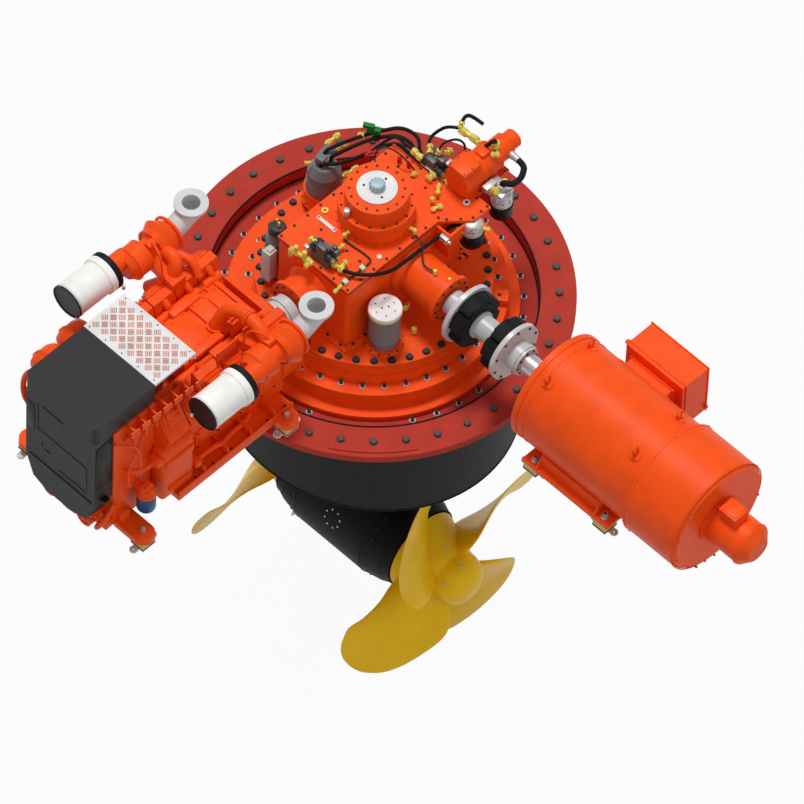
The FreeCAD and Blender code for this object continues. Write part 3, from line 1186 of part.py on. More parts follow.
# Strut and pod: a cast leg that fairs from round to streamlined, and the gear housing.
sizes(pod_drop=2930, pod_radius=445, pod_straight=370, pod_half_length=650, pod_end_radius=370,
      pod_wall=40, pod_end_wall=70, strut_half_length=560, strut_half_width=235, strut_bore=140,
      strut_bearing_height=90, propeller_shaft=90, strut_shoulder=1900)
pod_body = turned("pod_body", [
    ("propeller_shaft + running_fit", "-pod_half_length"), ("pod_end_radius", "-pod_half_length"),
    ("pod_end_radius + 40", "-pod_half_length + 100"), ("pod_radius", "-pod_straight"),
    ("pod_radius", "pod_straight"), ("pod_end_radius + 40", "pod_half_length - 100"),
    ("pod_end_radius", "pod_half_length"), ("propeller_shaft + running_fit", "pod_half_length"),
    ("propeller_shaft + running_fit", "pod_half_length - pod_end_wall"),
    ("pod_end_radius - pod_wall", "pod_half_length - pod_end_wall"),
    ("pod_radius - pod_wall", "pod_straight"), ("pod_radius - pod_wall", "-pod_straight"),
    ("pod_end_radius - pod_wall", "pod_end_wall - pod_half_length"),
    ("propeller_shaft + running_fit", "pod_end_wall - pod_half_length")],
    "X", ("0", "0", "-pod_drop"))
pod_port = cylinder("pod_port", "strut_bore", "pod_radius + 50", at=("0", "0", "-pod_drop"))
keep(cut("pod_shell", pod_body, pod_port), "pod_housing")


def ellipse_wire(half_length, half_width, height):
    curve = Part.Ellipse(Vector(0, 0, height), half_length, half_width)
    return Part.Wire([curve.toShape()])


strut_loft = Part.makeLoft([
    ellipse_wire(read("pipe_foot"), read("pipe_foot") - 1, -read("pipe_bottom")),
    ellipse_wire(read("strut_half_length") - 60, read("strut_half_width") + 90,
                 -read("strut_shoulder")),
    ellipse_wire(read("strut_half_length"), read("strut_half_width"), -read("pod_drop") + 150)],
    True, False)
pod_envelope = Part.makeCylinder(read("pod_radius"), 2 * read("pod_half_length"),
                                 Vector(-read("pod_half_length"), 0, -read("pod_drop")),
                                 Vector(1, 0, 0))
strut_hole = Part.makeCylinder(read("strut_bore"), read("pod_drop"), Vector(0, 0, -read("pod_drop")))
strut_shape = strut_loft.cut(pod_envelope).cut(strut_hole)
strut_solid = sorted(strut_shape.Solids, key=lambda solid: -solid.Volume)[0]
bearing_z = read("strut_shoulder")
bearing = Part.makeCylinder(read("strut_bore") + 2, read("strut_bearing_height"),
                            Vector(0, 0, -bearing_z)).cut(
    Part.makeCylinder(read("shaft_radius") + read("running_fit"), 500, Vector(0, 0, -bearing_z - 100)))
keep(shape_piece("strut", strut_solid.fuse(bearing).removeSplitter()), "strut")

# Vertical shaft with the lower bevel pinion. It drives two bevel gears that face each other, so
# the two propeller shafts turn opposite ways.
lower_apart = read("lower_gear_teeth") * read("lower_module") / 2
pinion = bevel_frustum(int(read("lower_pinion_teeth")), int(read("lower_gear_teeth")),
                       read("lower_module"), 0.0)
pinion = pinion.mirror(Vector(), Vector(0, 0, 1))
lower_root = bevel_root(read("lower_pinion_teeth"), read("lower_gear_teeth"), read("lower_module"))
collar_solid = Part.makeCylinder(lower_root - 2, 60, Vector(0, 0, lower_apart))
shaft_length = read("shaft_top") + read("pod_drop") - lower_apart
rod = Part.makeCylinder(read("shaft_radius"), shaft_length, Vector(0, 0, lower_apart))
vertical_shaft = shape_piece("vertical_shaft", pinion.fuse([collar_solid, rod]).removeSplitter())
keep(place(vertical_shaft, "Z", ("0", "0", "-pod_drop")), "vertical_shaft")

sizes(gear_blank=62, gear_hub_radius=160, gear_hub_length=60, shaft_inner_end=70,
      shaft_half_length=1010)


def geared_shaft(label, turn):
    """One half of the propeller drive: a bevel gear with its shaft, made along -Z."""
    teeth = int(read("lower_gear_teeth"))
    mate = int(read("lower_pinion_teeth"))
    module = read("lower_module")
    back = -mate * module / 2 - read("gear_blank")
    wheel = bevel_frustum(teeth, mate, module, math.pi / teeth)
    web = Part.makeCylinder(bevel_root(teeth, mate, module) - 4, read("gear_blank"),
                            Vector(0, 0, back))
    hub = Part.makeCylinder(read("gear_hub_radius"), read("gear_hub_length"),
                            Vector(0, 0, back - read("gear_hub_length")))
    rod = Part.makeCylinder(read("propeller_shaft"),
                            read("shaft_half_length") - read("shaft_inner_end"),
                            Vector(0, 0, -read("shaft_half_length")))
    made = shape_piece(label, wheel.fuse([web, hub, rod]).removeSplitter())
    made.Placement = Placement(Vector(0, 0, -read("pod_drop")),
                               Rotation(Vector(0, 0, 1), turn) * Rotation(Vector(0, 1, 0), -90))
    return keep(made, label)


geared_shaft("near_geared_shaft", 0)
geared_shaft("far_geared_shaft", 180)

# Propellers: a hub at each end of the pod with four skewed blades, and a domed cap.
# A blade is a row of sections from root to tip. Stations, chords and thickness are parts of the
# propeller radius, skews are degrees round the shaft, and rakes are mm along it.
sizes(propeller_radius=1155, propeller_place=850, hub_start_gap=6, hub_inner_radius=362,
      hub_outer_radius=235, hub_outer_end=1016, blades=4, blade_phase=9.5, far_blade_phase=8,
      blade_pitch=1923, cap_end=1250)
STATIONS = (0.18, 0.24, 0.42, 0.62, 0.80, 0.92, 0.985)
CHORDS = (0.20, 0.44, 0.63, 0.67, 0.62, 0.39, 0.20)
SKEWS = (33.0, 32.5, 29.9, 21.8, 11.2, 5.9, -2.7)
RAKES = (36, 48, 104, 88, 64, 45, 24)
THICKNESS = (0.080, 0.075, 0.055, 0.036, 0.024, 0.016, 0.010)


def blade_section(station, chord, skew, rake, thick):
    """One section of a blade that stands along +Y, with the shaft along X."""
    radius = station * read("propeller_radius")
    twist = math.atan2(read("blade_pitch"), 2 * math.pi * radius)
    out = Vector(0, math.cos(math.radians(skew)), math.sin(math.radians(skew)))
    side = Vector(0, -out.z, out.y)
    along = side * math.cos(twist) + Vector(1, 0, 0) * math.sin(twist)
    normal = Vector(1, 0, 0) * math.cos(twist) - side * math.sin(twist)
    half_chord = chord * read("propeller_radius") / 2
    half_thick = thick * read("propeller_radius") / 2
    shape = ((-1.0, 0.12), (-0.5, 0.85), (0.0, 1.0), (0.6, 0.7), (1.0, 0.12),
             (1.0, -0.12), (0.6, -0.7), (0.0, -1.0), (-0.5, -0.85), (-1.0, -0.12))
    middle = out * radius + Vector(rake, 0, 0)
    corners = [middle + along * (half_chord * u) + normal * (half_thick * w) for u, w in shape]
    return Part.makePolygon(corners + corners[:1])


def propeller(label, side, phase):
    """A hub with its blades: side +1 is the motor end of the pod, -1 the far end and other hand."""
    sections = [blade_section(*values) for values in zip(STATIONS, CHORDS, SKEWS, RAKES, THICKNESS)]
    blade = Part.makeLoft(sections, True, False)
    if side < 0:
        blade = blade.mirror(Vector(), Vector(1, 0, 0))
    hub_length = read("hub_outer_end") - read("pod_half_length") - read("hub_start_gap")
    start = read("pod_half_length") + read("hub_start_gap")
    hub = Part.makeCone(read("hub_inner_radius"), read("hub_outer_radius"), hub_length,
                        Vector(side * start, 0, 0), Vector(side, 0, 0))
    parts = []
    for number in range(int(read("blades"))):
        turned_blade = blade.copy()
        turned_blade.translate(Vector(side * read("propeller_place"), 0, 0))
        turned_blade.rotate(Vector(), Vector(1, 0, 0),
                            read(phase) + number * 360 / read("blades"))
        parts.append(turned_blade)
    bore = Part.makeCylinder(read("propeller_shaft"), 3000, Vector(-1500, 0, 0), Vector(1, 0, 0))
    made = shape_piece(label, hub.fuse(parts).cut(bore))
    return keep(place(made, "Z", ("0", "0", "-pod_drop")), label)


propeller("propeller_motor_side", 1, "blade_phase")
propeller("propeller_far_side", -1, "far_blade_phase")


def hub_cap(label, axis):
    length = "(cap_end - hub_outer_end)"
    return turned(label, [
        ("0", "0"), ("hub_outer_radius", "0"), ("hub_outer_radius", f"{length} * 0.3"),
        ("hub_outer_radius * 0.9", f"{length} * 0.62"), ("hub_outer_radius * 0.6", f"{length} * 0.9"),
        ("0", length)], axis, (f"{'-' if axis == '-X' else ''}hub_outer_end", "0", "-pod_drop"))


keep(hub_cap("near_cap", "X"), "near_hub_cap")
keep(hub_cap("far_cap", "-X"), "far_hub_cap")

# Check every object, then write each piece under its own name.
doc.recompute()
faults = [item.Label for item in doc.Objects if {"Invalid", "Error"} & set(item.State)]
for piece in pieces:
    if piece.Shape.isNull() or not piece.Shape.isValid() or not piece.Shape.Solids:
        faults.append(piece.Label)
if faults:
    raise RuntimeError("These did not build: " + ", ".join(faults))
for piece in pieces:
    piece.Shape.exportStep(f"parts/{piece.Label}.step")
print(len(pieces), "pieces written")
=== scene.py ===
import math
import bpy
from mathutils import Matrix, Vector


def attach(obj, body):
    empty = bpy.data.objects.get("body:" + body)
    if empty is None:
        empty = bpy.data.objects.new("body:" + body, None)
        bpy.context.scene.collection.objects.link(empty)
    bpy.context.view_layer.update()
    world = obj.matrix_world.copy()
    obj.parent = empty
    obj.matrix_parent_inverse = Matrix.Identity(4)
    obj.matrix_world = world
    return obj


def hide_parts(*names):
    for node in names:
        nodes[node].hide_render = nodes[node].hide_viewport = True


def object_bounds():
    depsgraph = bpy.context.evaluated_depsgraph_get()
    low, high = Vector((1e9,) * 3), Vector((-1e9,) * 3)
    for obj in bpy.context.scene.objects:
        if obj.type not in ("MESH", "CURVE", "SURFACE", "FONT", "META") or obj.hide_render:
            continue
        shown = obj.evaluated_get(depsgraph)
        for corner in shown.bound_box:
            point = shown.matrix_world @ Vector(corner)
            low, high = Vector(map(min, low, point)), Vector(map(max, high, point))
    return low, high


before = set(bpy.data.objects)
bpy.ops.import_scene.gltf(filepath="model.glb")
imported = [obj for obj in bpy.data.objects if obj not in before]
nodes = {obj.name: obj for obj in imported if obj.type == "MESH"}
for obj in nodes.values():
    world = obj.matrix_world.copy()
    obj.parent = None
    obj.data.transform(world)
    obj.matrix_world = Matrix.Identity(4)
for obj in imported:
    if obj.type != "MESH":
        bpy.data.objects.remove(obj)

cad_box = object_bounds()

# The camera stands 54 degrees above the horizon on the corner between the engine and the motor.
# The photograph has no perspective, so a very long lens looks on from a hundred metres away.
for item in [thing for thing in bpy.data.objects if thing.type in {"CAMERA", "LIGHT"}]:
    bpy.data.objects.remove(item)
bpy.ops.object.select_all(action="DESELECT")
sight_azimuth = math.radians(42.7)
sight_height = math.asin(0.81256)
sight_roll = math.radians(2.57)
across = Vector((math.cos(sight_azimuth), math.sin(sight_azimuth), 0))
toward = Vector((math.sin(sight_azimuth) * math.cos(sight_height),
    -math.cos(sight_azimuth) * math.cos(sight_height), math.sin(sight_height)))
upward = toward.cross(across)
picture_width = 804
millimetres_per_pixel = 1500 / 186.67
flange_right, flange_down = 372.9, 290.95
frame_width = picture_width * millimetres_per_pixel / 1000
offset_right = (picture_width / 2 - flange_right) * millimetres_per_pixel / 1000
offset_down = (picture_width / 2 - flange_down) * millimetres_per_pixel / 1000
aim = across * (math.cos(sight_roll) * offset_right
    + math.sin(sight_roll) * offset_down) + upward * (math.sin(sight_roll) * offset_right
    - math.cos(sight_roll) * offset_down)
lens = 600
sensor_width = 36
stand_off = frame_width * lens / sensor_width
bpy.ops.object.camera_add(location=aim + toward * stand_off)
camera = bpy.context.object
tilted_right = across * math.cos(sight_roll) + upward * math.sin(sight_roll)
tilted_up = upward * math.cos(sight_roll) - across * math.sin(sight_roll)
camera.matrix_world = Matrix.Translation(aim + toward * stand_off) @ Matrix((tilted_right, tilted_up,
    toward)).transposed().to_4x4()
camera.data.lens = lens
camera.data.sensor_width = sensor_width
camera.data.clip_end = 400
bpy.context.scene.camera = camera

# The floor is plain and pale, below the propellers' lowest reach, and looks white to the camera.
floor_level = cad_box[0][2] - 0.05
bpy.ops.mesh.primitive_plane_add(size=400, location=(0, 0, floor_level))
floor = bpy.context.object
floor.name = "studio_floor"
floor_paint = bpy.data.materials.new("pale_floor")
floor_paint.use_nodes = True
tree = floor_paint.node_tree
tree.nodes.clear()
surface_end = tree.nodes.new("ShaderNodeOutputMaterial")
matt = tree.nodes.new("ShaderNodeBsdfDiffuse")
matt.inputs["Color"].default_value = (0.42, 0.42, 0.42, 1)
glow = tree.nodes.new("ShaderNodeEmission")
glow.inputs["Color"].default_value = (1.0, 1.0, 1.0, 1)
both = tree.nodes.new("ShaderNodeMixShader")
sight = tree.nodes.new("ShaderNodeLightPath")
seen = tree.nodes.new("ShaderNodeMath")
seen.operation = "MAXIMUM"
whiteness = tree.nodes.new("ShaderNodeMath")
whiteness.operation = "MULTIPLY"
whiteness.inputs[1].default_value = 0.95
tree.links.new(sight.outputs["Is Camera Ray"], seen.inputs[0])
tree.links.new(sight.outputs["Is Glossy Ray"], seen.inputs[1])
tree.links.new(seen.outputs[0], whiteness.inputs[0])
tree.links.new(whiteness.outputs[0], both.inputs["Fac"])
tree.links.new(matt.outputs[0], both.inputs[1])
tree.links.new(glow.outputs[0], both.inputs[2])
tree.links.new(both.outputs[0], surface_end.inputs["Surface"])
floor.data.materials.append(floor_paint)

# Soft studio light: a pale sky all round, a broad sun that stands nearly overhead and a weaker,
# wider one from the motor's side. The camera itself sees the sky white.
sky = bpy.data.worlds.new("studio_sky")
bpy.context.scene.world = sky
sky.use_nodes = True
sky.node_tree.nodes["Background"].inputs["Color"].default_value = (1.0, 1.0, 1.0, 1)
sky.node_tree.nodes["Background"].inputs["Strength"].default_value = 0.42
backdrop = sky.node_tree.nodes.new("ShaderNodeBackground")
backdrop.inputs["Color"].default_value = (1.0, 1.0, 1.0, 1)
backdrop.inputs["Strength"].default_value = 1.0
horizon = sky.node_tree.nodes.new("ShaderNodeMixShader")
sight = sky.node_tree.nodes.new("ShaderNodeLightPath")
sky.node_tree.links.new(sight.outputs["Is Camera Ray"], horizon.inputs["Fac"])
sky.node_tree.links.new(sky.node_tree.nodes["Background"].outputs[0], horizon.inputs[1])
sky.node_tree.links.new(backdrop.outputs[0], horizon.inputs[2])
sky.node_tree.links.new(horizon.outputs[0], sky.node_tree.nodes["World Output"].inputs["Surface"])
for lamp_name, strength, width, turn in (("key_sun", 1.85, 14, (-4, -14, -10)),
    ("fill_sun", 0.35, 50, (52, 30, 60))):
    bpy.ops.object.light_add(type="SUN", rotation=[math.radians(value) for value in turn])
    lamp = bpy.context.object
    lamp.name = lamp_name
    lamp.data.energy = strength
    lamp.data.angle = math.radians(width)
bpy.context.scene.view_settings.view_transform = "Standard"
bpy.ops.object.select_all(action="DESELECT")

def coat(name, colour, rough=0.42, peel=0.05, grain=420, patches=5.5, spread=0.1, metal=0.0,
         gloss=0.16):
    """Mixes a finish."""
    made = bpy.data.materials.new(name)
    made.use_nodes = True
    links = made.node_tree.links
    nodes_new = made.node_tree.nodes.new
    shader = made.node_tree.nodes["Principled BSDF"]
    place = nodes_new("ShaderNodeTexCoord")

    def noise(scale, detail):
        """A cloud of noise that is fixed to the piece."""
        cloud = nodes_new("ShaderNodeTexNoise")
        cloud.inputs["Scale"].default_value = scale
        cloud.inputs["Detail"].default_value = detail
        links.new(place.outputs["Object"], cloud.inputs["Vector"])
        return cloud.outputs["Fac"]

    tone = nodes_new("ShaderNodeValToRGB")
    for stop, share, at in zip(tone.color_ramp.elements, (1 - spread, 1 + spread * 0.6), (0.3, 0.7)):
        stop.color = (*[min(1.0, part * share) for part in colour], 1)
        stop.position = at
    links.new(noise(patches, 5), tone.inputs["Fac"])
    links.new(tone.outputs["Color"], shader.inputs["Base Color"])
    sheen = nodes_new("ShaderNodeMapRange")
    sheen.inputs["To Min"].default_value = rough - 0.07
    sheen.inputs["To Max"].default_value = rough + 0.09
    links.new(noise(patches * 4, 7), sheen.inputs["Value"])
    links.new(sheen.outputs["Result"], shader.inputs["Roughness"])
    relief = nodes_new("ShaderNodeBump")
    relief.inputs["Strength"].default_value = peel
    relief.inputs["Distance"].default_value = 0.002
    links.new(noise(grain, 2), relief.inputs["Height"])
    links.new(relief.outputs["Normal"], shader.inputs["Normal"])
    shader.inputs["Metallic"].default_value = metal
    shader.inputs["Specular IOR Level"].default_value = gloss
    return made

def dress(node_names, finish):
    """Gives CAD nodes a finish."""
    for node_name in node_names:
        mesh = nodes[node_name].data
        mesh.materials.clear()
        mesh.materials.append(finish)

orange_paint = coat("orange_paint", (0.98, 0.09, 0.006), rough=0.42)
dress(["steering_support", "gear_case", "top_plate", "gearbox_housing", "gearbox_cover", "bearing_cover",
    "input_necks", "motor_frame", "motor_cowl", "terminal_box", "motor_feet", "engine_block",
    "cylinder_heads", "engine_side_rails", "flywheel_housing", "turbochargers", "pump_unit",
    "lifting_eyes", "cooling_fan"], orange_paint)

# Hull paint: the dull red oxide coat of the flange that is bolted to the ship.
red_paint = coat("red_oxide_paint", (0.47, 0.04, 0.024), rough=0.62, peel=0.08, grain=260)
dress(["well_flange", "inner_flange"], red_paint)

# Underwater paint: the black coat of everything below the flange.
black_paint = coat("black_underwater_paint", (0.0045, 0.0045, 0.0048), rough=0.55, peel=0.1, grain=180)
dress(["well_casing", "steering_pipe", "strut", "pod_housing"], black_paint)

# Bare steel: the inner shafts, the gears and the mounts' nuts are machined and lightly oiled.
bright_steel = coat("machined_steel", (0.62, 0.62, 0.61), rough=0.34, peel=0.03, grain=900, patches=14,
    spread=0.06, metal=0.7, gloss=0.5)
dress(["slew_bearing_outer", "ring_gear", "steering_pinion_a", "steering_pinion_b", "upper_gear",
    "motor_rotor", "vertical_shaft", "near_geared_shaft", "far_geared_shaft", "mount_nuts"], bright_steel)

# Propeller bronze: nickel bronze, shown in the photograph as a clean golden yellow.
bronze = coat("propeller_bronze", (0.97, 0.58, 0.008), rough=0.36, peel=0.06, grain=150, patches=3,
    spread=0.08, metal=0.06)

# The remaining nodes and the fittings take their own finishes.
black_rubber = coat("black_rubber", (0.01, 0.01, 0.01), rough=0.62, peel=0.2, grain=300)
dress(["flexible_elements", "hydraulic_hoses"], black_rubber)
yellow_rubber = coat("yellow_rubber", (0.8, 0.62, 0.16), rough=0.7, peel=0.15, grain=240)
dress(["rubber_mounts"], yellow_rubber)
pale_paint = coat("pale_grey_paint", (0.66, 0.66, 0.67), rough=0.4, peel=0.04)
dress(["mount_base_plates", "exhaust_outlets"], pale_paint)
hood_grey = coat("charcoal_paint", (0.03, 0.03, 0.031), rough=0.5, peel=0.05)
dress(["engine_front_cover"], hood_grey)
filter_white = coat("cream_enamel", (0.95, 0.95, 0.91), rough=0.32, peel=0.03)
dress(["air_filters"], filter_white)
filter_blue = coat("blue_enamel", (0.01, 0.095, 0.22), rough=0.3, peel=0.03)
fitting_yellow = coat("zinc_yellow", (0.78, 0.66, 0.12), rough=0.35, peel=0.03, grain=800, patches=30,
    metal=0.25)
screw_black = coat("blackened_steel", (0.045, 0.045, 0.047), rough=0.42, peel=0.05, metal=0.4)
dress(["plate_bolts"], screw_black)

# Hull bolts: thirty-six M36 hexagon screws clamp the flange to the ship. They are forged steel,
# blackened, with a turned washer under each head. Three of them stand on the raised arc pad.
def facing(axis):
    """The turn from the Z axis to another axis."""
    return Vector((0, 0, 1)).rotation_difference(Vector(axis)).to_matrix().to_4x4()

def lie(piece, place, axis=(0, 0, 1)):
    """Stands a piece that was made along Z at a place, along an axis."""
    piece.matrix_world = Matrix.Translation(Vector(place)) @ facing(axis)
    return piece

def turned(profile, sides=40):
    """Spins up a form from (radius, height) rings; a profile that ends where it began is a ring."""
    bpy.ops.object.select_all(action="DESELECT")
    bpy.ops.mesh.primitive_circle_add(vertices=sides, radius=profile[0][0],
        location=(0, 0, profile[0][1]))
    bpy.ops.object.mode_set(mode="EDIT")
    bpy.ops.mesh.select_all(action="SELECT")
    for (old_radius, old_height), (radius, height) in zip(profile, profile[1:]):
        bpy.ops.mesh.extrude_region_move(TRANSFORM_OT_translate={"value": (0, 0, height - old_height)})
        grow = radius / old_radius
        bpy.ops.transform.resize(value=(grow, grow, 1), center_override=(0, 0, height))
    bpy.ops.mesh.select_all(action="SELECT")
    bpy.ops.mesh.remove_doubles(threshold=0.00001)
    bpy.ops.mesh.fill_holes(sides=0)
    bpy.ops.mesh.normals_make_consistent(inside=False)
    bpy.ops.object.mode_set(mode="OBJECT")
    piece = bpy.context.object
    bpy.ops.object.transform_apply(location=True, rotation=True, scale=True)
    return piece

def together(pieces):
    """Joins pieces to one mesh with its transforms applied."""
    bpy.ops.object.select_all(action="DESELECT")
    for piece in pieces:
        piece.select_set(True)
    bpy.context.view_layer.objects.active = pieces[0]
    if len(pieces) > 1:
        bpy.ops.object.join()
    bpy.ops.object.transform_apply(location=True, rotation=True, scale=True)
    return bpy.context.object

def copies(model, moves):
    """Copies a model, mesh and all, to each of the moves, and joins them."""
    made = []
    for move in moves:
        twin = model.copy()
        twin.data = model.data.copy()
        bpy.context.collection.objects.link(twin)
        twin.matrix_world = move @ model.matrix_world
        made.append(twin)
    bpy.data.objects.remove(model)
    return together(made)

def round_z(count, first=0.0, arc=360.0, lifts=()):
    """Moves for a bolt circle about Z, starting at an angle in degrees."""
    step = arc / count
    return [Matrix.Translation((0, 0, lifts[number] if lifts else 0))
        @ Matrix.Rotation(math.radians(first + number * step), 4, "Z") for number in range(count)]

def hand_over(name, finish, pieces, body="hull_side", angle=35):
    """Joins and smooths finished pieces, names and paints them, and lets them ride on their body."""
    piece = together(pieces if isinstance(pieces, list) else [pieces])
    bpy.ops.object.shade_smooth_by_angle(angle=math.radians(angle))
    piece.name = name
    piece.data.name = name
    piece.data.materials.clear()
    piece.data.materials.append(finish)
    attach(piece, body)
    return piece

def hexagon(radius, height, chamfer):
    """A hexagon head with its top corners turned off."""
    return turned([(radius, 0), (radius, height - chamfer), (radius - chamfer * 1.6, height)], 6)

bolt_angles = [5 + 10 * number for number in range(36)]
pad_lifts = [0.012 if -58 <= (angle + 180) % 360 - 180 <= -32 else 0.0 for angle in bolt_angles]
hull_head = lie(hexagon(0.032, 0.024, 0.005), (1.5, 0, 0.004))
hull_heads = copies(hull_head, round_z(36, 5, lifts=pad_lifts))
bolt_black = coat("oiled_black_steel", (0.05, 0.048, 0.046), rough=0.45, peel=0.05, metal=0.35)
bolt_brown = coat("phosphated_steel", (0.1, 0.082, 0.076), rough=0.5, peel=0.05, metal=0.25)
hand_over("hull_bolt_heads", bolt_brown, hull_heads)

def flat_washer(bore, radius, sides):
    """A washer 4 mm thick with broken edges."""
    return turned([(bore, 0), (radius, 0), (radius + 0.0005, 0.001), (radius + 0.0005, 0.003),
        (radius - 0.0005, 0.004), (bore, 0.004), (bore, 0)], sides)

hand_over("hull_bolt_washers", bolt_brown,
    copies(lie(flat_washer(0.02, 0.034, 28), (1.5, 0, 0)), round_z(36, 5, lifts=pad_lifts)))

# Well lip: a black sealing cord runs round the flange's inner edge, and a second cord lies below
# it, round the inner flange.
def seal_ring(radius, height, thickness, sides=160):
    """A cord or a weld bead that runs round the Z axis."""
    bpy.ops.object.select_all(action="DESELECT")
    bpy.ops.mesh.primitive_torus_add(major_radius=radius, minor_radius=thickness, major_segments=sides,
        minor_segments=8, location=(0, 0, height))
    bpy.ops.object.transform_apply(location=True, rotation=True, scale=True)
    return bpy.context.object

hand_over("well_lip_seals", black_rubber,
    [seal_ring(1.343, 0.0, 0.008), seal_ring(1.3385, -0.128, 0.0075)])

# Inner flange screws: thirty-four socket screws on light washers hold the removable ring, and
# thirty-six more hold the support ring. The washers are zinc plated and the screws blackened.
zinc = coat("zinc_plate", (0.6, 0.61, 0.62), rough=0.34, peel=0.03, grain=900, patches=24, spread=0.08,
    metal=0.55)
washer_profile = [(0.012, 0), (0.0265, 0), (0.027, 0.001), (0.027, 0.006), (0.0255, 0.008),
    (0.012, 0.008), (0.012, 0)]
screw_washers = hand_over("socket_screw_washers", zinc,
    [copies(lie(turned(washer_profile, 28), (1.22, 0, -0.135)), round_z(34, -30, 330)),
    copies(lie(turned(washer_profile, 28), (1.007, 0, 0.08)), round_z(36))])
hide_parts("ring_screws")

def socket_head(radius, height, socket):
    """A socket screw's head with its hexagon socket sunk in the top."""
    head = turned([(radius - 0.001, 0), (radius, 0.001), (radius, height - 0.0015),
        (radius - 0.0015, height), (socket, height)], 24)
    bpy.ops.object.mode_set(mode="EDIT")
    bpy.ops.mesh.select_all(action="DESELECT")
    bpy.ops.object.mode_set(mode="OBJECT")
    for face in head.data.polygons:
        face.select = face.normal.z > 0.9 and face.area > 2.5 * socket * socket
    bpy.ops.object.mode_set(mode="EDIT")
    bpy.ops.mesh.extrude_region_move(TRANSFORM_OT_translate={"value": (0, 0, -height * 0.6)})
    bpy.ops.object.mode_set(mode="OBJECT")
    return head

inner_caps, support_caps = [copies(lie(socket_head(0.0175, 0.02, 0.0085), place), moves)
    for place, moves in (((1.22, 0, -0.127), round_z(34, -30, 330)), ((1.007, 0, 0.088), round_z(36)))]
hand_over("socket_screw_heads", bolt_black, [inner_caps, support_caps])

# Plate bolts: forty hexagon screws close the top plate, each on a thin black washer.
hand_over("plate_bolt_washers", bolt_black,
    copies(lie(flat_washer(0.014, 0.033, 24), (0.917, 0, 0.305)), round_z(40)))

# Support ring and gear case: weld beads run round the ring and the case's foot, and three
# raised blocks, each with a screw, locate the case on the ring.
hand_over("gear_case_beads", orange_paint,
    [seal_ring(radius, height, thickness, 120) for radius, height, thickness in ((0.968, 0.082, 0.006),
    (0.963, 0.265, 0.004), (1.185, -0.088, 0.005), (1.093, -0.083, 0.006))], angle=60)

def block(size, place, edge=0.004, turn=0.0):
    """A block with all its edges broken, at its place, turned about Z in degrees."""
    bpy.ops.object.select_all(action="DESELECT")
    bpy.ops.mesh.primitive_cube_add(size=1)
    piece = bpy.context.object
    piece.scale = size
    bpy.ops.object.transform_apply(location=True, rotation=True, scale=True)
    bpy.ops.object.mode_set(mode="EDIT")
    bpy.ops.mesh.select_all(action="SELECT")
    bpy.ops.mesh.bevel(offset=edge, segments=2, affect="EDGES")
    bpy.ops.object.mode_set(mode="OBJECT")
    piece.matrix_world = Matrix.Translation(Vector(place)) @ Matrix.Rotation(math.radians(turn), 4, "Z")
    return piece

def blocks(rows):
    """Several blocks; a row says what a call of block says."""
    return [block(*row) for row in rows]

locating_moves = round_z(3, 37.5)
locating_block = block((0.15, 0.11, 0.07), (1.02, 0, 0.115))
hand_over("locating_blocks", orange_paint, copies(locating_block, locating_moves))
hand_over("locating_block_bolts", bolt_black,
    [lie(hexagon(0.014, 0.012, 0.003), (1.02 * math.cos(angle), 1.02 * math.sin(angle), 0.149))
    for angle in [math.radians(37.5 + 120 * number) for number in range(3)]])

# Large steering drive: a grey hydraulic motor on an orange planetary gear, held by a ring of
# screws. The gear's case is cast iron, and the port block on top is machined from steel.
large_drive = Vector((-0.758, 0.184, 0))
gear_sleeve = turned([(0.1485, 0), (0.176, 0), (0.178, 0.002), (0.178, 0.02), (0.162, 0.03),
    (0.157, 0.06), (0.157, 0.118), (0.166, 0.124), (0.166, 0.15), (0.1485, 0.15), (0.1485, 0)], 56)
hand_over("large_drive_gear_case", orange_paint, lie(gear_sleeve, large_drive + Vector((0, 0, 0.366))))

def bolt_ring(centre, radius, count, head, height, first=0.0):
    """A circle of small hexagon heads on a face that looks up."""
    model = lie(hexagon(head, height, height * 0.25), (radius, 0, 0))
    ring = copies(model, round_z(count, first))
    ring.matrix_world = Matrix.Translation(Vector(centre))
    return ring

hand_over("large_drive_screws", bolt_black,
    [bolt_ring(large_drive + Vector((0, 0, 0.386)), 0.169, 14, 0.0085, 0.009),
    bolt_ring(large_drive + Vector((0, 0, 0.618)), 0.1435, 10, 0.0045, 0.006),
    bolt_ring(large_drive + Vector((0, 0, 0.729)), 0.118, 6, 0.009, 0.012, 15)])
port_block = block((0.115, 0.165, 0.075), large_drive + Vector((-0.035, 0.05, 0.835)), 0.008, 12)
port_cap = block((0.08, 0.07, 0.045), large_drive + Vector((-0.02, -0.02, 0.88)), 0.007, 12)
drive_grey = coat("steel_grey_paint", (0.19, 0.19, 0.195), rough=0.4, peel=0.04)
hand_over("large_drive_port_block", drive_grey, [port_block, port_cap])
dress(["steering_drives"], drive_grey)

def union(start, end, radius):
    """A threaded pipe union: a turned stem with a hexagon nut near each end."""
    start, end = Vector(start), Vector(end)
    length = (end - start).length
    stem = turned([(radius * 0.72, 0), (radius * 0.78, 0.003), (radius * 0.78, length * 0.4),
        (radius * 0.62, length * 0.45), (radius * 0.62, length * 0.62), (radius * 0.8, length * 0.66),
        (radius * 0.8, length - 0.003), (radius * 0.7, length)], 18)
    nuts = [turned([(radius * 0.88, length * share), (radius, length * share + 0.003),
        (radius, length * (share + width) - 0.003), (radius * 0.88, length * (share + width))], 6)
        for share, width in ((0.1, 0.26), (0.64, 0.28))]
    return lie(together([stem, *nuts]), start, end - start)

def unions(rows):
    """Several unions; a row says what a call of union says."""
    return [union(*row) for row in rows]

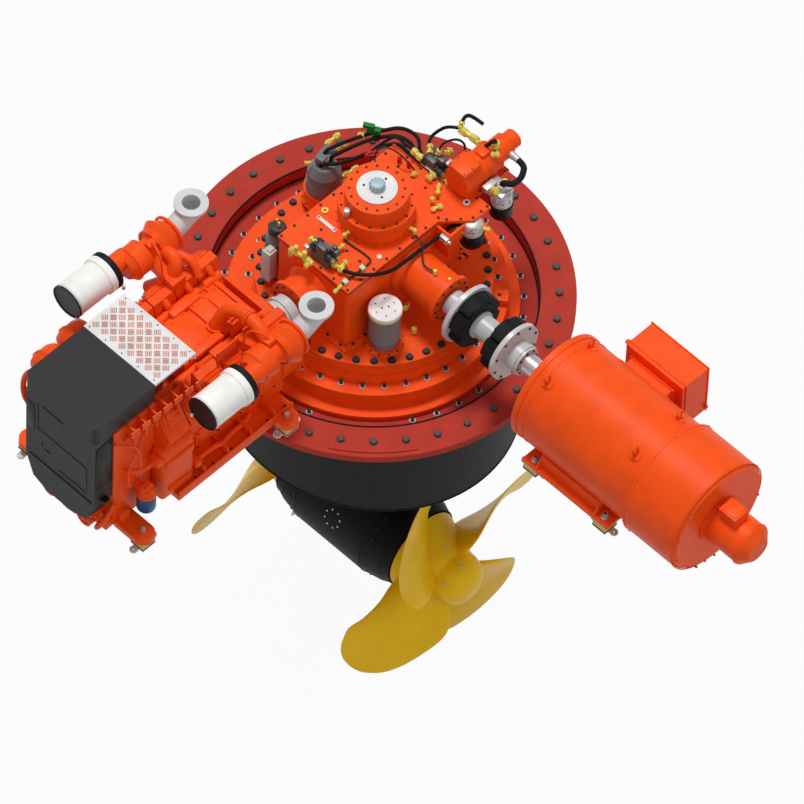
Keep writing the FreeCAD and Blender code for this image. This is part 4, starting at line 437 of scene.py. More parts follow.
hand_over("large_drive_unions", fitting_yellow,
    unions([((-0.865, 0.3, 0.85), (-0.846, 0.44, 0.885), 0.026),
    ((-0.8, 0.3, 0.828), (-0.765, 0.455, 0.835), 0.024),
    ((-0.826, 0.1, 0.835), (-0.862, 0.06, 0.835), 0.018), ((-0.67, 0.3, 0.6), (-0.655, 0.47, 0.6), 0.026),
    ((-0.64, 0.25, 0.56), (-0.64, 0.41, 0.56), 0.022)]))

# Small steering drive: the same kind of motor, slimmer, with a black brake cap, a breather on
# top and a pale switch box bolted to its side.
small_drive = Vector((-0.538, -0.565, 0))
brake_cap = turned([(0.072, 0), (0.078, 0.004), (0.078, 0.018), (0.07, 0.026), (0.068, 0.06),
    (0.06, 0.07), (0.02, 0.074)], 48)
hand_over("small_drive_brake_cap", bolt_black, lie(brake_cap, small_drive + Vector((0, 0, 0.824))))
hand_over("small_drive_unions", fitting_yellow,
    unions([(small_drive + Vector((0.012, 0.0, 0.895)), small_drive + Vector((0.012, 0, 0.95)), 0.013),
    (small_drive + Vector((-0.03, 0.02, 0.89)), small_drive + Vector((-0.03, 0.02, 0.935)), 0.011)]))
switch_box = together(blocks([((0.085, 0.08, 0.35), small_drive + Vector((0.045, -0.13, 0.56)), 0.006),
    ((0.093, 0.012, 0.358), small_drive + Vector((0.045, -0.172, 0.56)), 0.004),
    ((0.05, 0.06, 0.02), small_drive + Vector((0.045, -0.125, 0.742)), 0.005)]))
box_grey = coat("light_box_grey", (0.6, 0.62, 0.58), rough=0.45, peel=0.04)
hand_over("small_drive_switch_box", box_grey, switch_box)
small_gear = turned([(0.1055, 0), (0.132, 0), (0.134, 0.002), (0.134, 0.018), (0.118, 0.028),
    (0.114, 0.11), (0.124, 0.116), (0.124, 0.136), (0.1055, 0.136), (0.1055, 0)], 48)
hand_over("small_drive_gear_case", orange_paint, lie(small_gear, small_drive + Vector((0, 0, 0.366))))
hand_over("small_drive_screws", bolt_black,
    bolt_ring(small_drive + Vector((0, 0, 0.384)), 0.126, 12, 0.0075, 0.008))

# Gearbox cover screws: hexagon screws about 150 mm apart hold the cover plate to the cast box,
# and more of them close the wing over the hydraulics.
edge_places = ([(0.372, -0.695 + 0.147 * step) for step in range(7)]
    + [(-0.372, -0.695 + 0.147 * step) for step in range(9)]
    + [(-0.225 + 0.147 * step, -0.695) for step in range(4)]
    + [(-0.225 + 0.155 * step, 0.578) for step in range(3)]
    + [(0.372, 0.33), (0.43, 0.365), (0.505, 0.45), (0.565, 0.53), (0.565, 0.62),
    (0.565, 0.69), (0.45, 0.69), (0.366, 0.69), (-0.195, -0.425), (0.096, -0.425),
    (0.24, -0.425), (0.236, 0.462), (0.09, 0.468), (-0.06, 0.468), (-0.21, 0.462)])
cover_top = 1.04

def at_places(places, height):
    """Moves to places (x, y) at one height."""
    return [Matrix.Translation((x, y, height)) for x, y in places]

hand_over("gearbox_cover_screws", bolt_black,
    copies(hexagon(0.0125, 0.011, 0.003), at_places(edge_places, cover_top)))

# Gearbox joint: the cover stands a little proud on a gasket, and a cast flange with a row of
# studs runs round the foot of the box. Both are painted with the box.
hand_over("gearbox_foot_flange", orange_paint,
    blocks([((0.052, 1.34, 0.022), (0.419, -0.045, 0.316), 0.003),
    ((0.052, 1.34, 0.022), (-0.419, -0.045, 0.316), 0.003),
    ((0.89, 0.05, 0.022), (0, -0.738, 0.316), 0.003), ((0.89, 0.05, 0.022), (0, 0.623, 0.316), 0.003)]))
foot_places = ([(side * 0.423, -0.66 + 0.135 * step) for side in (-1, 1) for step in range(10)]
    + [(-0.36 + 0.144 * step, -0.741) for step in range(6)]
    + [(-0.36 + 0.144 * step, 0.626) for step in range(6)])
hand_over("gearbox_foot_studs", bolt_black,
    copies(hexagon(0.013, 0.014, 0.003), at_places(foot_places, 0.327)))
hand_over("gearbox_cover_gasket", screw_black,
    blocks([((0.004, 1.3, 0.006), (0.397, -0.045, 1.01), 0.001),
    ((0.004, 1.3, 0.006), (-0.397, -0.045, 1.01), 0.001),
    ((0.78, 0.004, 0.006), (0, -0.717, 1.01), 0.001)]))

# Bearing cover screws: sixteen screws on each step of the round cover, and small ones round its
# foot. A pale breather stands on the lower step, and yellow oil unions stand round the foot.
hand_over("bearing_cover_screws", bolt_black,
    [bolt_ring((0, 0, 1.387), 0.222, 16, 0.0105, 0.009),
    bolt_ring((0, 0, 1.235), 0.287, 16, 0.0105, 0.009, 11.25),
    bolt_ring((0, 0, 1.06), 0.319, 24, 0.005, 0.006)])
hand_over("gearbox_breather", zinc,
    [lie(turned([(0.016, 0), (0.016, 0.03), (0.027, 0.034), (0.029, 0.04), (0.029, 0.066), (0.024, 0.075),
    (0.008, 0.077)], 28), (-0.055, -0.28, 1.235)),
    lie(hexagon(0.02, 0.014, 0.002), (-0.055, -0.28, 1.235))])
hand_over("oil_feed_unions", fitting_yellow,
    unions([((0.005, -0.306, 1.105), (0.005, -0.372, 1.112), 0.019),
    ((0.002, -0.368, 1.12), (0.002, -0.368, 1.072), 0.016),
    ((0.306, 0.06, 1.105), (0.372, 0.072, 1.112), 0.019),
    ((0.368, 0.07, 1.12), (0.368, 0.07, 1.072), 0.016),
    ((-0.262, 0.255, 1.075), (-0.33, 0.315, 1.075), 0.019),
    ((0.235, 0.395, 1.062), (0.235, 0.395, 1.115), 0.02),
    ((0.29, 0.33, 1.062), (0.32, 0.42, 1.075), 0.022)]))

# Steering angle sensor: a white enamelled disc with a turned groove, held by three black
# screws, and a blue-grey knob with a fluted rim that turns the sensor inside.
sensor_disc = turned([(0.15, 0), (0.163, 0), (0.165, 0.002), (0.165, 0.012), (0.163, 0.014),
    (0.146, 0.014), (0.144, 0.012), (0.14, 0.012), (0.138, 0.014), (0.075, 0.014), (0.073, 0.012),
    (0.069, 0.012), (0.067, 0.014), (0.01, 0.014)], 72)
white_enamel = coat("white_enamel", (0.82, 0.82, 0.81), rough=0.33, peel=0.03)
hand_over("sensor_disc", white_enamel, lie(sensor_disc, (0, 0, 1.387)))
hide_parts("angle_sensor")
sensor_knob = turned([(0.062, 0), (0.066, 0.004), (0.066, 0.01), (0.058, 0.014), (0.058, 0.05),
    (0.052, 0.06), (0.01, 0.062)], 24)
knob_blue = coat("anodised_blue_grey", (0.42, 0.54, 0.6), rough=0.3, peel=0.04, grain=500, patches=40,
    metal=0.35)
flutes = bolt_ring((0, 0, 0.014), 0.058, 12, 0.0095, 0.04)
hand_over("sensor_knob", knob_blue, lie(together([sensor_knob, flutes]), (0, 0, 1.401)))
hand_over("sensor_disc_screws", bolt_black, bolt_ring((0, 0, 1.401), 0.108, 3, 0.011, 0.006, -25))

# Cover fittings: a pale level bar with two screws, white inspection plugs, a sight port on the
# wing and a yellow-ringed oil filler.
level_bar = block((0.205, 0.032, 0.01), (-0.203, -0.354, 1.045), 0.002)
plugs = [lie(turned([(0.015, 0), (0.021, 0.001), (0.021, 0.012), (0.018, 0.015), (0.007, 0.015)], 24),
    place) for place in ((0.311, 0.415, cover_top), (0.319, -0.284, cover_top))]
sight_port = lie(turned([(0.014, 0), (0.029, 0), (0.03, 0.002), (0.03, 0.008), (0.014, 0.008),
    (0.014, 0)], 28), (0.423, 0.599, cover_top))
hand_over("cover_plugs", white_enamel, [level_bar, *plugs, sight_port])
plug_centres = [lie(hexagon(0.008, 0.007, 0.001), (x, y, 1.05))
    for x, y in ((-0.29, -0.354), (-0.116, -0.354))]
plug_centres.append(lie(hexagon(0.013, 0.014, 0.002), (0.423, 0.599, cover_top)))
hand_over("cover_plug_screws", bolt_black, plug_centres)
hand_over("oil_filler_ring", fitting_yellow,
    lie(turned([(0.013, 0), (0.028, 0), (0.029, 0.002), (0.029, 0.012), (0.013, 0.012), (0.013, 0)], 28),
    (-0.307, -0.27, cover_top)))

# Oil pipes: bent steel tubes, painted black, run from the bearing cover's unions to the front
# edge, the back and the motor neck. Two green-white clips hold the front one.
def bent_pipe(points, radius, sides=5):
    """A tube along a smooth line that follows its bend points, closed at both ends."""
    line = bpy.data.curves.new("tube_line", "CURVE")
    line.dimensions = "3D"
    spline = line.splines.new("NURBS")
    spline.points.add(len(points) - 1)
    for knot, place in zip(spline.points, points):
        knot.co = (*place, 1)
    spline.order_u = 3
    spline.use_endpoint_u = True
    line.bevel_depth = radius
    line.bevel_resolution = sides - 2
    line.resolution_u = 8
    line.use_fill_caps = True
    tube = bpy.data.objects.new("tube", line)
    bpy.context.collection.objects.link(tube)
    bpy.ops.object.select_all(action="DESELECT")
    tube.select_set(True)
    bpy.context.view_layer.objects.active = tube
    bpy.ops.object.convert(target="MESH")
    return bpy.context.object

front_pipe = bent_pipe([(0.002, -0.368, 1.074), (0.002, -0.368, 1.056), (0.06, -0.368, 1.054),
    (0.2, -0.352, 1.054), (0.29, -0.352, 1.054), (0.312, -0.38, 1.054), (0.31, -0.47, 1.054),
    (0.31, -0.56, 1.054), (0.31, -0.66, 1.054), (0.31, -0.745, 1.054), (0.31, -0.775, 1.02)], 0.0075)
neck_pipe = bent_pipe([(0.368, 0.07, 1.074), (0.368, 0.07, 1.056), (0.42, 0.062, 1.056),
    (0.47, 0.05, 1.05), (0.5, 0.02, 1.0), (0.56, -0.03, 0.93), (0.64, -0.02, 0.93), (0.677, -0.01, 0.93),
    (0.677, -0.01, 0.905)], 0.0075)
bearing_pipe = bent_pipe([(-0.33, 0.315, 1.08), (-0.36, 0.345, 1.08), (-0.38, 0.36, 1.14),
    (-0.35, 0.4, 1.24), (-0.25, 0.46, 1.23), (-0.12, 0.5, 1.13), (-0.09, 0.52, 1.06)], 0.0075)
hand_over("oil_pipes", screw_black, [front_pipe, neck_pipe, bearing_pipe], angle=60)
clips = blocks([((0.046, 0.04, 0.034), (0.309, -0.466, 1.058), 0.004),
    ((0.046, 0.04, 0.034), (0.31, -0.659, 1.058), 0.004)])
clip_white = coat("moulded_white_green", (0.62, 0.72, 0.55), rough=0.5, peel=0.03)
hand_over("pipe_clips", clip_white, clips)
hand_over("front_pipe_union", fitting_yellow, union((0.31, -0.7, 1.054), (0.31, -0.79, 1.035), 0.018))
hand_over("neck_unions", fitting_yellow,
    unions([((0.677, -0.01, 0.903), (0.677, -0.01, 0.955), 0.02),
    ((0.8, 0.028, 0.904), (0.8, 0.028, 0.93), 0.016)]))

# Input necks: a ring of black hexagon screws closes each bearing end. Both input shafts lie at
# one height.
input_height = 0.715

def round_input(shaft, count, first=0.0):
    """Moves for a bolt circle about the motor's shaft, along X, or the engine's, along Y."""
    centre = Vector((0, 0, input_height))
    return [Matrix.Translation(centre) @ Matrix.Rotation(math.radians(first + 360 / count * step), 4,
        shaft) @ Matrix.Translation(-centre) for step in range(count)]

def head_circle(head, place, axis, count, first=0.0, shaft="X"):
    """A circle of hexagon heads about one of the input shafts."""
    return copies(lie(hexagon(*head), place, axis), round_input(shaft, count, first))

motor_neck_screws = head_circle((0.012, 0.012, 0.003), (0.85, 0.178, input_height), (1, 0, 0), 12)
engine_neck_screws = head_circle((0.012, 0.012, 0.003), (0.178, -0.95, input_height), (0, -1, 0), 12,
    shaft="Y")
hand_over("neck_screws", bolt_black, [motor_neck_screws, engine_neck_screws])

# Header tank: a grey sheet-steel pot on an orange bolted foot. A cream gasket sits under the
# white enamelled lid, which carries six small screws and two more near its centre.
tank_place = Vector((0.566, -0.455, 0))
gasket_cream = coat("cream_gasket", (0.78, 0.66, 0.2), rough=0.6, peel=0.06)
tank_gasket = turned([(0.128, 0), (0.1395, 0), (0.1405, 0.003), (0.1405, 0.02), (0.1385, 0.023),
    (0.128, 0.023), (0.128, 0)], 64)
hand_over("tank_gasket", gasket_cream, lie(tank_gasket, tank_place + Vector((0, 0, 0.7215))))
lid_rim = turned([(0.1365, 0), (0.1385, 0.002), (0.1385, 0.018), (0.133, 0.0255), (0.12, 0.027),
    (0.02, 0.027)], 64)
hand_over("tank_lid", white_enamel, lie(lid_rim, tank_place + Vector((0, 0, 0.744))))
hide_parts("oil_tank_lid")
hand_over("tank_lid_screws", bolt_black,
    [bolt_ring(tank_place + Vector((0, 0, 0.7705)), 0.085, 6, 0.0065, 0.004, 20),
    bolt_ring(tank_place + Vector((0, 0, 0.7705)), 0.028, 2, 0.008, 0.006, 60)])
tank_foot = turned([(0.112, 0), (0.163, 0), (0.165, 0.002), (0.165, 0.017), (0.162, 0.02), (0.15, 0.0235),
    (0.112, 0.0235), (0.112, 0)], 64)
hand_over("tank_foot_ring", orange_paint, lie(tank_foot, tank_place + Vector((0, 0, 0.305))))
tank_grey = coat("tank_grey_paint", (0.21, 0.21, 0.215), rough=0.42, peel=0.04)
dress(["oil_tank"], tank_grey)
hand_over("tank_foot_screws", bolt_black,
    bolt_ring(tank_place + Vector((0, 0, 0.325)), 0.154, 12, 0.0085, 0.009))

def band(inner, outer, width, edge, sides=48):
    """A clamped or welded band whose outer edges slope."""
    return turned([(inner, 0), (outer, edge), (outer, width - edge), (inner, width), (inner, 0)], sides)

hand_over("tank_weld_bands", tank_grey,
    [lie(band(0.13, 0.132, 0.007, 0.001, 64), tank_place + Vector((0, 0, height)))
    for height in (0.42, 0.69)])

# Low unions: three yellow unions stand beside the tank and on the top plate.
hand_over("low_unions", fitting_yellow,
    unions([((0.519, -0.14, 0.47), (0.56, -0.22, 0.52), 0.024),
    ((0.672, -0.219, 0.306), (0.672, -0.219, 0.372), 0.026),
    ((0.914, -0.178, 0.266), (0.914, -0.178, 0.305), 0.018)]))

# Valve groups: solenoid valves stand on a steel manifold in front and on one at the back. The
# bodies are grey, the coils black, and the pipe unions and end caps are plated yellow.
valve_grey = coat("valve_body_steel", (0.135, 0.135, 0.138), rough=0.42, peel=0.06, metal=0.3)
dress(["valve_blocks"], valve_grey)

def valve_group(corner):
    """Coils, two small blocks and end caps round a manifold whose lower corner is given."""
    corner = Vector(corner)
    coils, caps = [], []
    for row in (0.032, 0.088):
        for start, way in ((0.045, -1), (0.146, 1)):
            base = corner + Vector((start, row, 0.115))
            coil = turned([(0.024, 0), (0.0335, 0.003), (0.0345, 0.006), (0.0345, 0.052), (0.032, 0.056),
                (0.016, 0.057)], 24)
            coils.append(lie(coil, base, (way, 0, 0)))
            cap = turned([(0.014, 0), (0.017, 0.002), (0.017, 0.018), (0.012, 0.022), (0.004, 0.023)], 16)
            caps.append(lie(cap, base + Vector((way * 0.057, 0, 0)), (way, 0, 0)))
    coils.append(block((0.036, 0.03, 0.032), corner + Vector((0.02, 0.032, 0.162)), 0.004))
    coils.append(block((0.036, 0.03, 0.032), corner + Vector((0.17, 0.088, 0.162)), 0.004))
    return coils, caps

front_coils, front_caps = valve_group((-0.07, -0.67, cover_top))
rear_coils, rear_caps = valve_group((-0.09, 0.6, 0.97))
hand_over("valve_coils", screw_black, front_coils + rear_coils)
hand_over("valve_pilot_blocks", valve_grey,
    blocks([((0.092, 0.048, 0.052), (0.025, -0.638, 1.212), 0.004),
    ((0.08, 0.05, 0.06), (0.112, -0.582, 1.205), 0.004),
    ((0.03, 0.034, 0.04), (0.112, -0.582, 1.25), 0.004),
    ((0.092, 0.05, 0.06), (-0.01, 0.635, 1.146), 0.004),
    ((0.08, 0.06, 0.07), (0.05, 0.69, 1.16), 0.004)]))
silver = coat("cast_aluminium", (0.62, 0.63, 0.64), rough=0.38, peel=0.1, grain=260, metal=0.45)
hand_over("valve_plates", silver,
    blocks([((0.15, 0.03, 0.11), (0.01, 0.74, 1.06), 0.004),
    ((0.21, 0.13, 0.018), (0.005, 0.662, 1.066), 0.003), ((0.05, 0.06, 0.03), (0.13, 0.7, 1.19), 0.004),
    ((0.045, 0.03, 0.06), (-0.12, -0.66, 1.095), 0.004)]))
front_unions = unions([((-0.06, -0.61, 1.16), (-0.14, -0.61, 1.16), 0.03),
    ((-0.215, -0.75, 1.085), (0.02, -0.735, 1.085), 0.03),
    ((-0.16, -0.745, 1.085), (-0.16, -0.745, 1.16), 0.022),
    ((-0.07, -0.74, 1.085), (-0.07, -0.74, 1.165), 0.024),
    ((-0.005, -0.735, 1.085), (-0.005, -0.8, 1.085), 0.024),
    ((0.06, -0.52, 1.09), (0.06, -0.42, 1.09), 0.018),
    ((0.12, -0.615, 1.085), (0.235, -0.605, 1.085), 0.034),
    ((0.195, -0.6, 1.085), (0.195, -0.53, 1.105), 0.026),
    ((-0.215, -0.745, 1.07), (-0.215, -0.745, 0.985), 0.024)])
front_unions += front_caps
hand_over("front_valve_unions", fitting_yellow, front_unions)
hand_over("rear_valve_unions", fitting_yellow,
    unions([((-0.095, 0.612, 1.105), (-0.205, 0.612, 1.13), 0.032),
    ((-0.095, 0.65, 1.065), (-0.24, 0.655, 1.065), 0.026),
    ((-0.095, 0.7, 1.09), (-0.15, 0.76, 1.12), 0.03), ((0.01, 0.7, 1.195), (0.01, 0.7, 1.26), 0.026),
    ((0.05, 0.74, 1.19), (0.05, 0.8, 1.2), 0.036), ((0.06, 0.6, 1.07), (0.06, 0.52, 1.07), 0.036),
    ((0.105, 0.69, 1.0), (0.18, 0.7, 1.0), 0.03), ((0.105, 0.64, 1.03), (0.19, 0.64, 1.03), 0.028),
    ((-0.06, 0.59, 0.985), (-0.06, 0.47, 1.075), 0.024),
    ((0.15, 0.56, 1.062), (0.215, 0.48, 1.062), 0.024)]) + rear_caps)

# Hose clamp: a green moulded block holds the drive's three hoses. Four red caps stand near it.
clamp_green = coat("moulded_green", (0.01, 0.23, 0.03), rough=0.45, peel=0.05)
hand_over("hose_clamp", clamp_green,
    blocks([((0.115, 0.05, 0.06), (-0.605, 0.585, 1.03), 0.006, 30),
    ((0.095, 0.04, 0.04), (-0.64, 0.56, 1.08), 0.006, 30),
    ((0.06, 0.055, 0.12), (-0.59, 0.6, 0.975), 0.006, 30)]))
hand_over("hose_clamp_union", fitting_yellow, union((-0.64, 0.52, 0.99), (-0.69, 0.5, 0.96), 0.03))
red_caps = together(unions([((-0.455, 0.352, 1.0), (-0.455, 0.352, 1.075), 0.02),
    ((-0.5, 0.4, 1.0), (-0.44, 0.47, 1.01), 0.02), ((-0.235, 0.5, 1.042), (-0.235, 0.5, 1.105), 0.02),
    ((-0.15, 0.52, 1.042), (-0.15, 0.52, 1.095), 0.018)]))
cap_red = coat("red_cap_plastic", (0.55, 0.012, 0.008), rough=0.35, peel=0.03)
hand_over("red_port_caps", cap_red, red_caps)

# Pump: an orange electric motor with a bolted end shield and a junction box, and a front box
# with a screwed lid. Short black hoses join the pump and the valves.
pump_axis = Vector((0.3, 0, 1.182))
pump_rings = [lie(band(0.1305, 0.1365, 0.024, 0.002), pump_axis + Vector((0, along, 0)), (0, 1, 0))
    for along in (0.8, 0.985)]
pump_rings.append(lie(band(0.0825, 0.0885, 0.018, 0.002, 40), pump_axis + Vector((0, 1.16, 0)),
    (0, 1, 0)))
pump_rings += blocks([((0.186, 0.206, 0.014), (0.3, 0.695, 1.352), 0.003),
    ((0.09, 0.1, 0.04), (0.3, 0.9, 1.318), 0.006)])
hand_over("pump_rings_and_lids", orange_paint, pump_rings)
pump_screws = [lie(hexagon(0.007, 0.007, 0.0015),
    pump_axis + Vector((0.1 * math.cos(angle), 1.16, 0.1 * math.sin(angle))), (0, 1, 0))
    for angle in [math.radians(45 * step + 20) for step in range(8)]]
pump_screws += [lie(hexagon(0.007, 0.006, 0.0015), (0.3 + x, 0.695 + y, 1.359)) for x in (-0.078, 0.078)
    for y in (-0.088, 0, 0.088)]
pump_screws += [lie(hexagon(0.01, 0.01, 0.0025), (0.3 + x, y, cover_top)) for x in (-0.115, 0.115)
    for y in (0.76, 0.9, 1.04)]
hand_over("pump_screws", bolt_black, pump_screws)
hand_over("suction_hose_ends", silver,
    [lie(turned([(0.028, 0), (0.034, 0.003), (0.034, 0.05), (0.029, 0.056), (0.029, 0.1), (0.026, 0.104)],
    28), (0.384, 1.12, 1.182), (1, 0, 0)),
    lie(hexagon(0.04, 0.026, 0.004), (0.378, 1.12, 1.182), (1, 0, 0)),
    lie(turned([(0.028, 0), (0.034, 0.003), (0.034, 0.06), (0.026, 0.064)], 28), (0.566, 0.856, 1.118))])
hand_over("pump_unions", fitting_yellow,
    unions([((0.33, 1.01, 1.3), (0.33, 1.01, 1.38), 0.036),
    ((0.372, 0.722, 1.05), (0.372, 0.65, 1.062), 0.028), ((0.36, 0.93, 1.31), (0.41, 0.97, 1.33), 0.03),
    ((-0.03, 0.975, 1.235), (0.16, 0.985, 1.25), 0.038),
    ((-0.03, 0.975, 1.25), (-0.04, 1.01, 1.3), 0.028),
    ((0.16, 0.985, 1.255), (0.215, 0.95, 1.225), 0.034)]))
hand_over("pump_hoses", black_rubber,
    [bent_pipe([(0.21, 0.95, 1.23), (0.26, 0.945, 1.29), (0.33, 0.96, 1.42), (0.335, 1.0, 1.42),
    (0.33, 1.01, 1.37)], 0.017, 7),
    bent_pipe([(-0.04, 1.0, 1.28), (-0.06, 1.06, 1.33), (0.02, 1.09, 1.33), (0.11, 1.09, 1.33)],
    0.016, 7), bent_pipe([(-0.03, 0.975, 1.245), (-0.11, 0.93, 1.245), (-0.17, 0.87, 1.18),
    (-0.19, 0.79, 1.13), (-0.15, 0.74, 1.115)], 0.014, 7),
    bent_pipe([(0.01, 0.7, 1.25), (0.01, 0.71, 1.33), (0.08, 0.84, 1.35), (0.16, 0.86, 1.29),
    (0.18, 0.76, 1.2), (0.18, 0.7, 1.03)], 0.01, 6),
    bent_pipe([(-0.205, 0.612, 1.13), (-0.29, 0.612, 1.135), (-0.38, 0.6, 1.16), (-0.45, 0.56, 1.06),
    (-0.48, 0.47, 1.02)], 0.012, 6)], angle=60)

# Spin-on filters: black steel cans under cast aluminium heads with yellow unions. A silver
# bracket ties the second head to the pump's shelf.
filter_black = coat("black_can_enamel", (0.009, 0.009, 0.01), rough=0.36, peel=0.03)
cans, heads = [], []
for along, lift in ((0.525, 0.0), (0.856, 0.078)):
    foot = Vector((0.565, along, 1.01 - 0.287 + lift))
    cans.append(lie(turned([(0.03, 0), (0.066, 0.001), (0.088, 0.008), (0.0985, 0.026), (0.1005, 0.042),
        (0.1005, 0.148), (0.0985, 0.155), (0.086, 0.158)], 56), foot))
    heads.append(lie(turned([(0.084, 0), (0.0905, 0.002), (0.0905, 0.034), (0.085, 0.04), (0.085, 0.1),
        (0.078, 0.118), (0.06, 0.13), (0.02, 0.131)], 56), foot + Vector((0, 0, 0.158))))
    for step in range(10):
        angle = math.radians(36 * step)
        heads.append(block((0.01, 0.006, 0.052),
            foot + Vector((0.087 * math.cos(angle), 0.087 * math.sin(angle), 0.23)), 0.0015, 36 * step))
hand_over("filter_cans", filter_black, cans)
heads += blocks([((0.19, 0.142, 0.031), (0.53, 0.856, 1.1035), 0.004),
    ((0.032, 0.142, 0.079), (0.445, 0.856, 1.0495), 0.004),
    ((0.06, 0.12, 0.036), (0.48, 0.8, 1.14), 0.005)])
filter_heads = hand_over("filter_heads", silver, heads)
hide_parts("hydraulic_filters")
hand_over("filter_unions", fitting_yellow,
    unions([((0.51, 0.8, 1.12), (0.575, 0.79, 1.15), 0.036),
    ((0.545, 0.905, 1.118), (0.545, 0.905, 1.175), 0.026),
    ((0.5, 0.41, 0.93), (0.545, 0.445, 0.94), 0.034), ((0.64, 0.56, 0.95), (0.7, 0.59, 0.95), 0.022)]))

# Wing gusset: a welded plate stiffens the overhanging wing, with a small aluminium sensor box.
hand_over("wing_gusset", orange_paint,
    blocks([((0.15, 0.022, 0.3), (0.47, 0.29, 0.858), 0.004),
    ((0.022, 0.23, 0.15), (0.545, 0.4, 0.932), 0.004)]))
hand_over("gusset_sensor_box", silver,
    blocks([((0.08, 0.04, 0.062), (0.512, 0.262, 0.955), 0.004),
    ((0.03, 0.02, 0.03), (0.56, 0.262, 0.955), 0.003)]))

# Couplings: cast hubs and flanges in a pale coat, bolted to lobed rubber elements. Ten screws
# hold each flange on the motor's side and eight the engine's, and rings grip the shafts.
coupling_pale = coat("satin_pale_grey", (0.6, 0.61, 0.62), rough=0.3, peel=0.03, grain=500, spread=0.05,
    metal=0.1)
dress(["motor_coupling", "engine_coupling", "motor_input_shaft", "engine_input_shaft"], coupling_pale)
hand_over("motor_coupling_screws", bolt_black,
    [head_circle((0.013, 0.011, 0.003), (1.01, 0.235, input_height), (-1, 0, 0), 10),
    head_circle((0.013, 0.011, 0.003), (1.57, 0.235, input_height), (1, 0, 0), 10, 12),
    head_circle((0.009, 0.01, 0.002), (1.7, 0.108, input_height), (1, 0, 0), 8)], body="motor_input")
hub_rings = [lie(turned([(0.106, 0), (0.121, 0), (0.123, 0.002), (0.123, 0.024), (0.121, 0.026),
    (0.106, 0.026), (0.106, 0)], 48), (along, 0, input_height), (1, 0, 0)) for along in (1.1755, 1.3735)]
hub_rings += [lie(band(0.131, 0.139, 0.021, 0.001), (1.655, 0, input_height), (1, 0, 0)),
    lie(band(0.111, 0.121, 0.019, 0.001), (0.93, 0, input_height), (1, 0, 0))]
hand_over("motor_coupling_rings", coupling_pale, hub_rings, body="motor_input")
lobe_depth = 0.118
hand_over("motor_coupling_lobes", black_rubber,
    [copies(block((lobe_depth, 0.088, 0.034), (start + lobe_depth / 2, 0, input_height + 0.222), 0.009),
    round_input("X", 8, 22.5)) for start in (1.052, 1.407)], body="motor_input")
hand_over("engine_coupling_screws", bolt_black,
    head_circle((0.011, 0.01, 0.0025), (0.15, -1.1295, input_height), (0, 1, 0), 8, shaft="Y"),
    body="engine_input")
hand_over("engine_coupling_ring", coupling_pale,
    lie(band(0.131, 0.146, 0.032, 0.002), (0, -1.04, input_height), (0, -1, 0)), body="engine_input")

# Motor frame: a rolled orange shell with turned bands round it. The end shields are bolted on,
# and a stepped bearing cap closes the front round the shaft.
def shell_ring(inner, outer, width, place, axis=(1, 0, 0), sides=96):
    """A flat turned band with broken edges."""
    ring = turned([(inner, 0), (outer - 0.003, 0), (outer, 0.003), (outer, width - 0.003),
        (outer - 0.003, width), (inner, width), (inner, 0)], sides)
    return lie(ring, place, axis)

hand_over("motor_bands", orange_paint,
    [shell_ring(inner, outer, width, (along, 0, input_height), sides=sides)
    for inner, outer, width, along, sides in ((0.4845, 0.493, 0.055, 2.002, 96),
    (0.4845, 0.49, 0.012, 2.12, 96), (0.5145, 0.52, 0.02, 3.262, 96), (0.5145, 0.519, 0.014, 3.78, 96),
    (0.1, 0.185, 0.022, 1.978, 56), (0.1, 0.135, 0.03, 1.956, 48), (0.1855, 0.215, 0.016, 3.8165, 56),
    (0.1845, 0.192, 0.016, 4.15, 56), (0.1845, 0.19, 0.01, 3.95, 56))])
hand_over("motor_screws", orange_paint,
    [head_circle((0.014, 0.012, 0.003), (2.0, 0.445, input_height), (-1, 0, 0), 16, 11),
    head_circle((0.009, 0.009, 0.002), (1.978, 0.16, input_height), (-1, 0, 0), 8),
    head_circle((0.012, 0.01, 0.003), (3.816, 0.475, input_height), (1, 0, 0), 12, 15),
    head_circle((0.007, 0.008, 0.002), (3.8325, 0.203, input_height), (1, 0, 0), 10, 9),
    head_circle((0.008, 0.008, 0.002), (3.275, 0.5195, input_height), (0, 1, 0), 14, 8)])

# Motor lifting lugs: four forged rings are in the frame. Each has an oval pad welded under it,
# and the rear cowl has three rows of pressed air slots on its underside. The slots are black blocks
# whose black is painted shade for the dark inside of the openings.
lug_lean = math.asin(0.25 / 0.485)
lug_pads = []
for along in (2.15, 3.12):
    for side in (-1, 1):
        pad = turned([(0.03, 0), (0.046, 0), (0.049, 0.004), (0.046, 0.012), (0.026, 0.014)], 24)
        normal = Vector((0, side * math.sin(lug_lean), math.cos(lug_lean)))
        place = Vector((along, 0, input_height)) + normal * 0.482
        pad.matrix_world = Matrix.Translation(place) @ facing(normal) @ Matrix.Diagonal((1.35, 1, 1, 1))
        lug_pads.append(pad)
hand_over("lug_pads", orange_paint, lug_pads)
# Each slot is a black block set on the cowl. Its black is painted shade that stands for the dark inside
# of the opening.
slot_shade_block = block((0.06, 0.014, 0.016), (3.36, 0, input_height - 0.514), 0.004)
slot_moves = [Matrix.Translation((0.085 * step, 0, 0)) @ row for row in round_input("X", 15, -24)[:3]
    for step in range(6)]
hand_over("cowl_air_slots", screw_black, copies(slot_shade_block, slot_moves))
hand_over("fan_box_lid", orange_paint,
    blocks([((0.178, 0.158, 0.012), (3.965, 0, 0.988), 0.003),
    ((0.15, 0.13, 0.01), (3.965, 0, 0.996), 0.004)]))

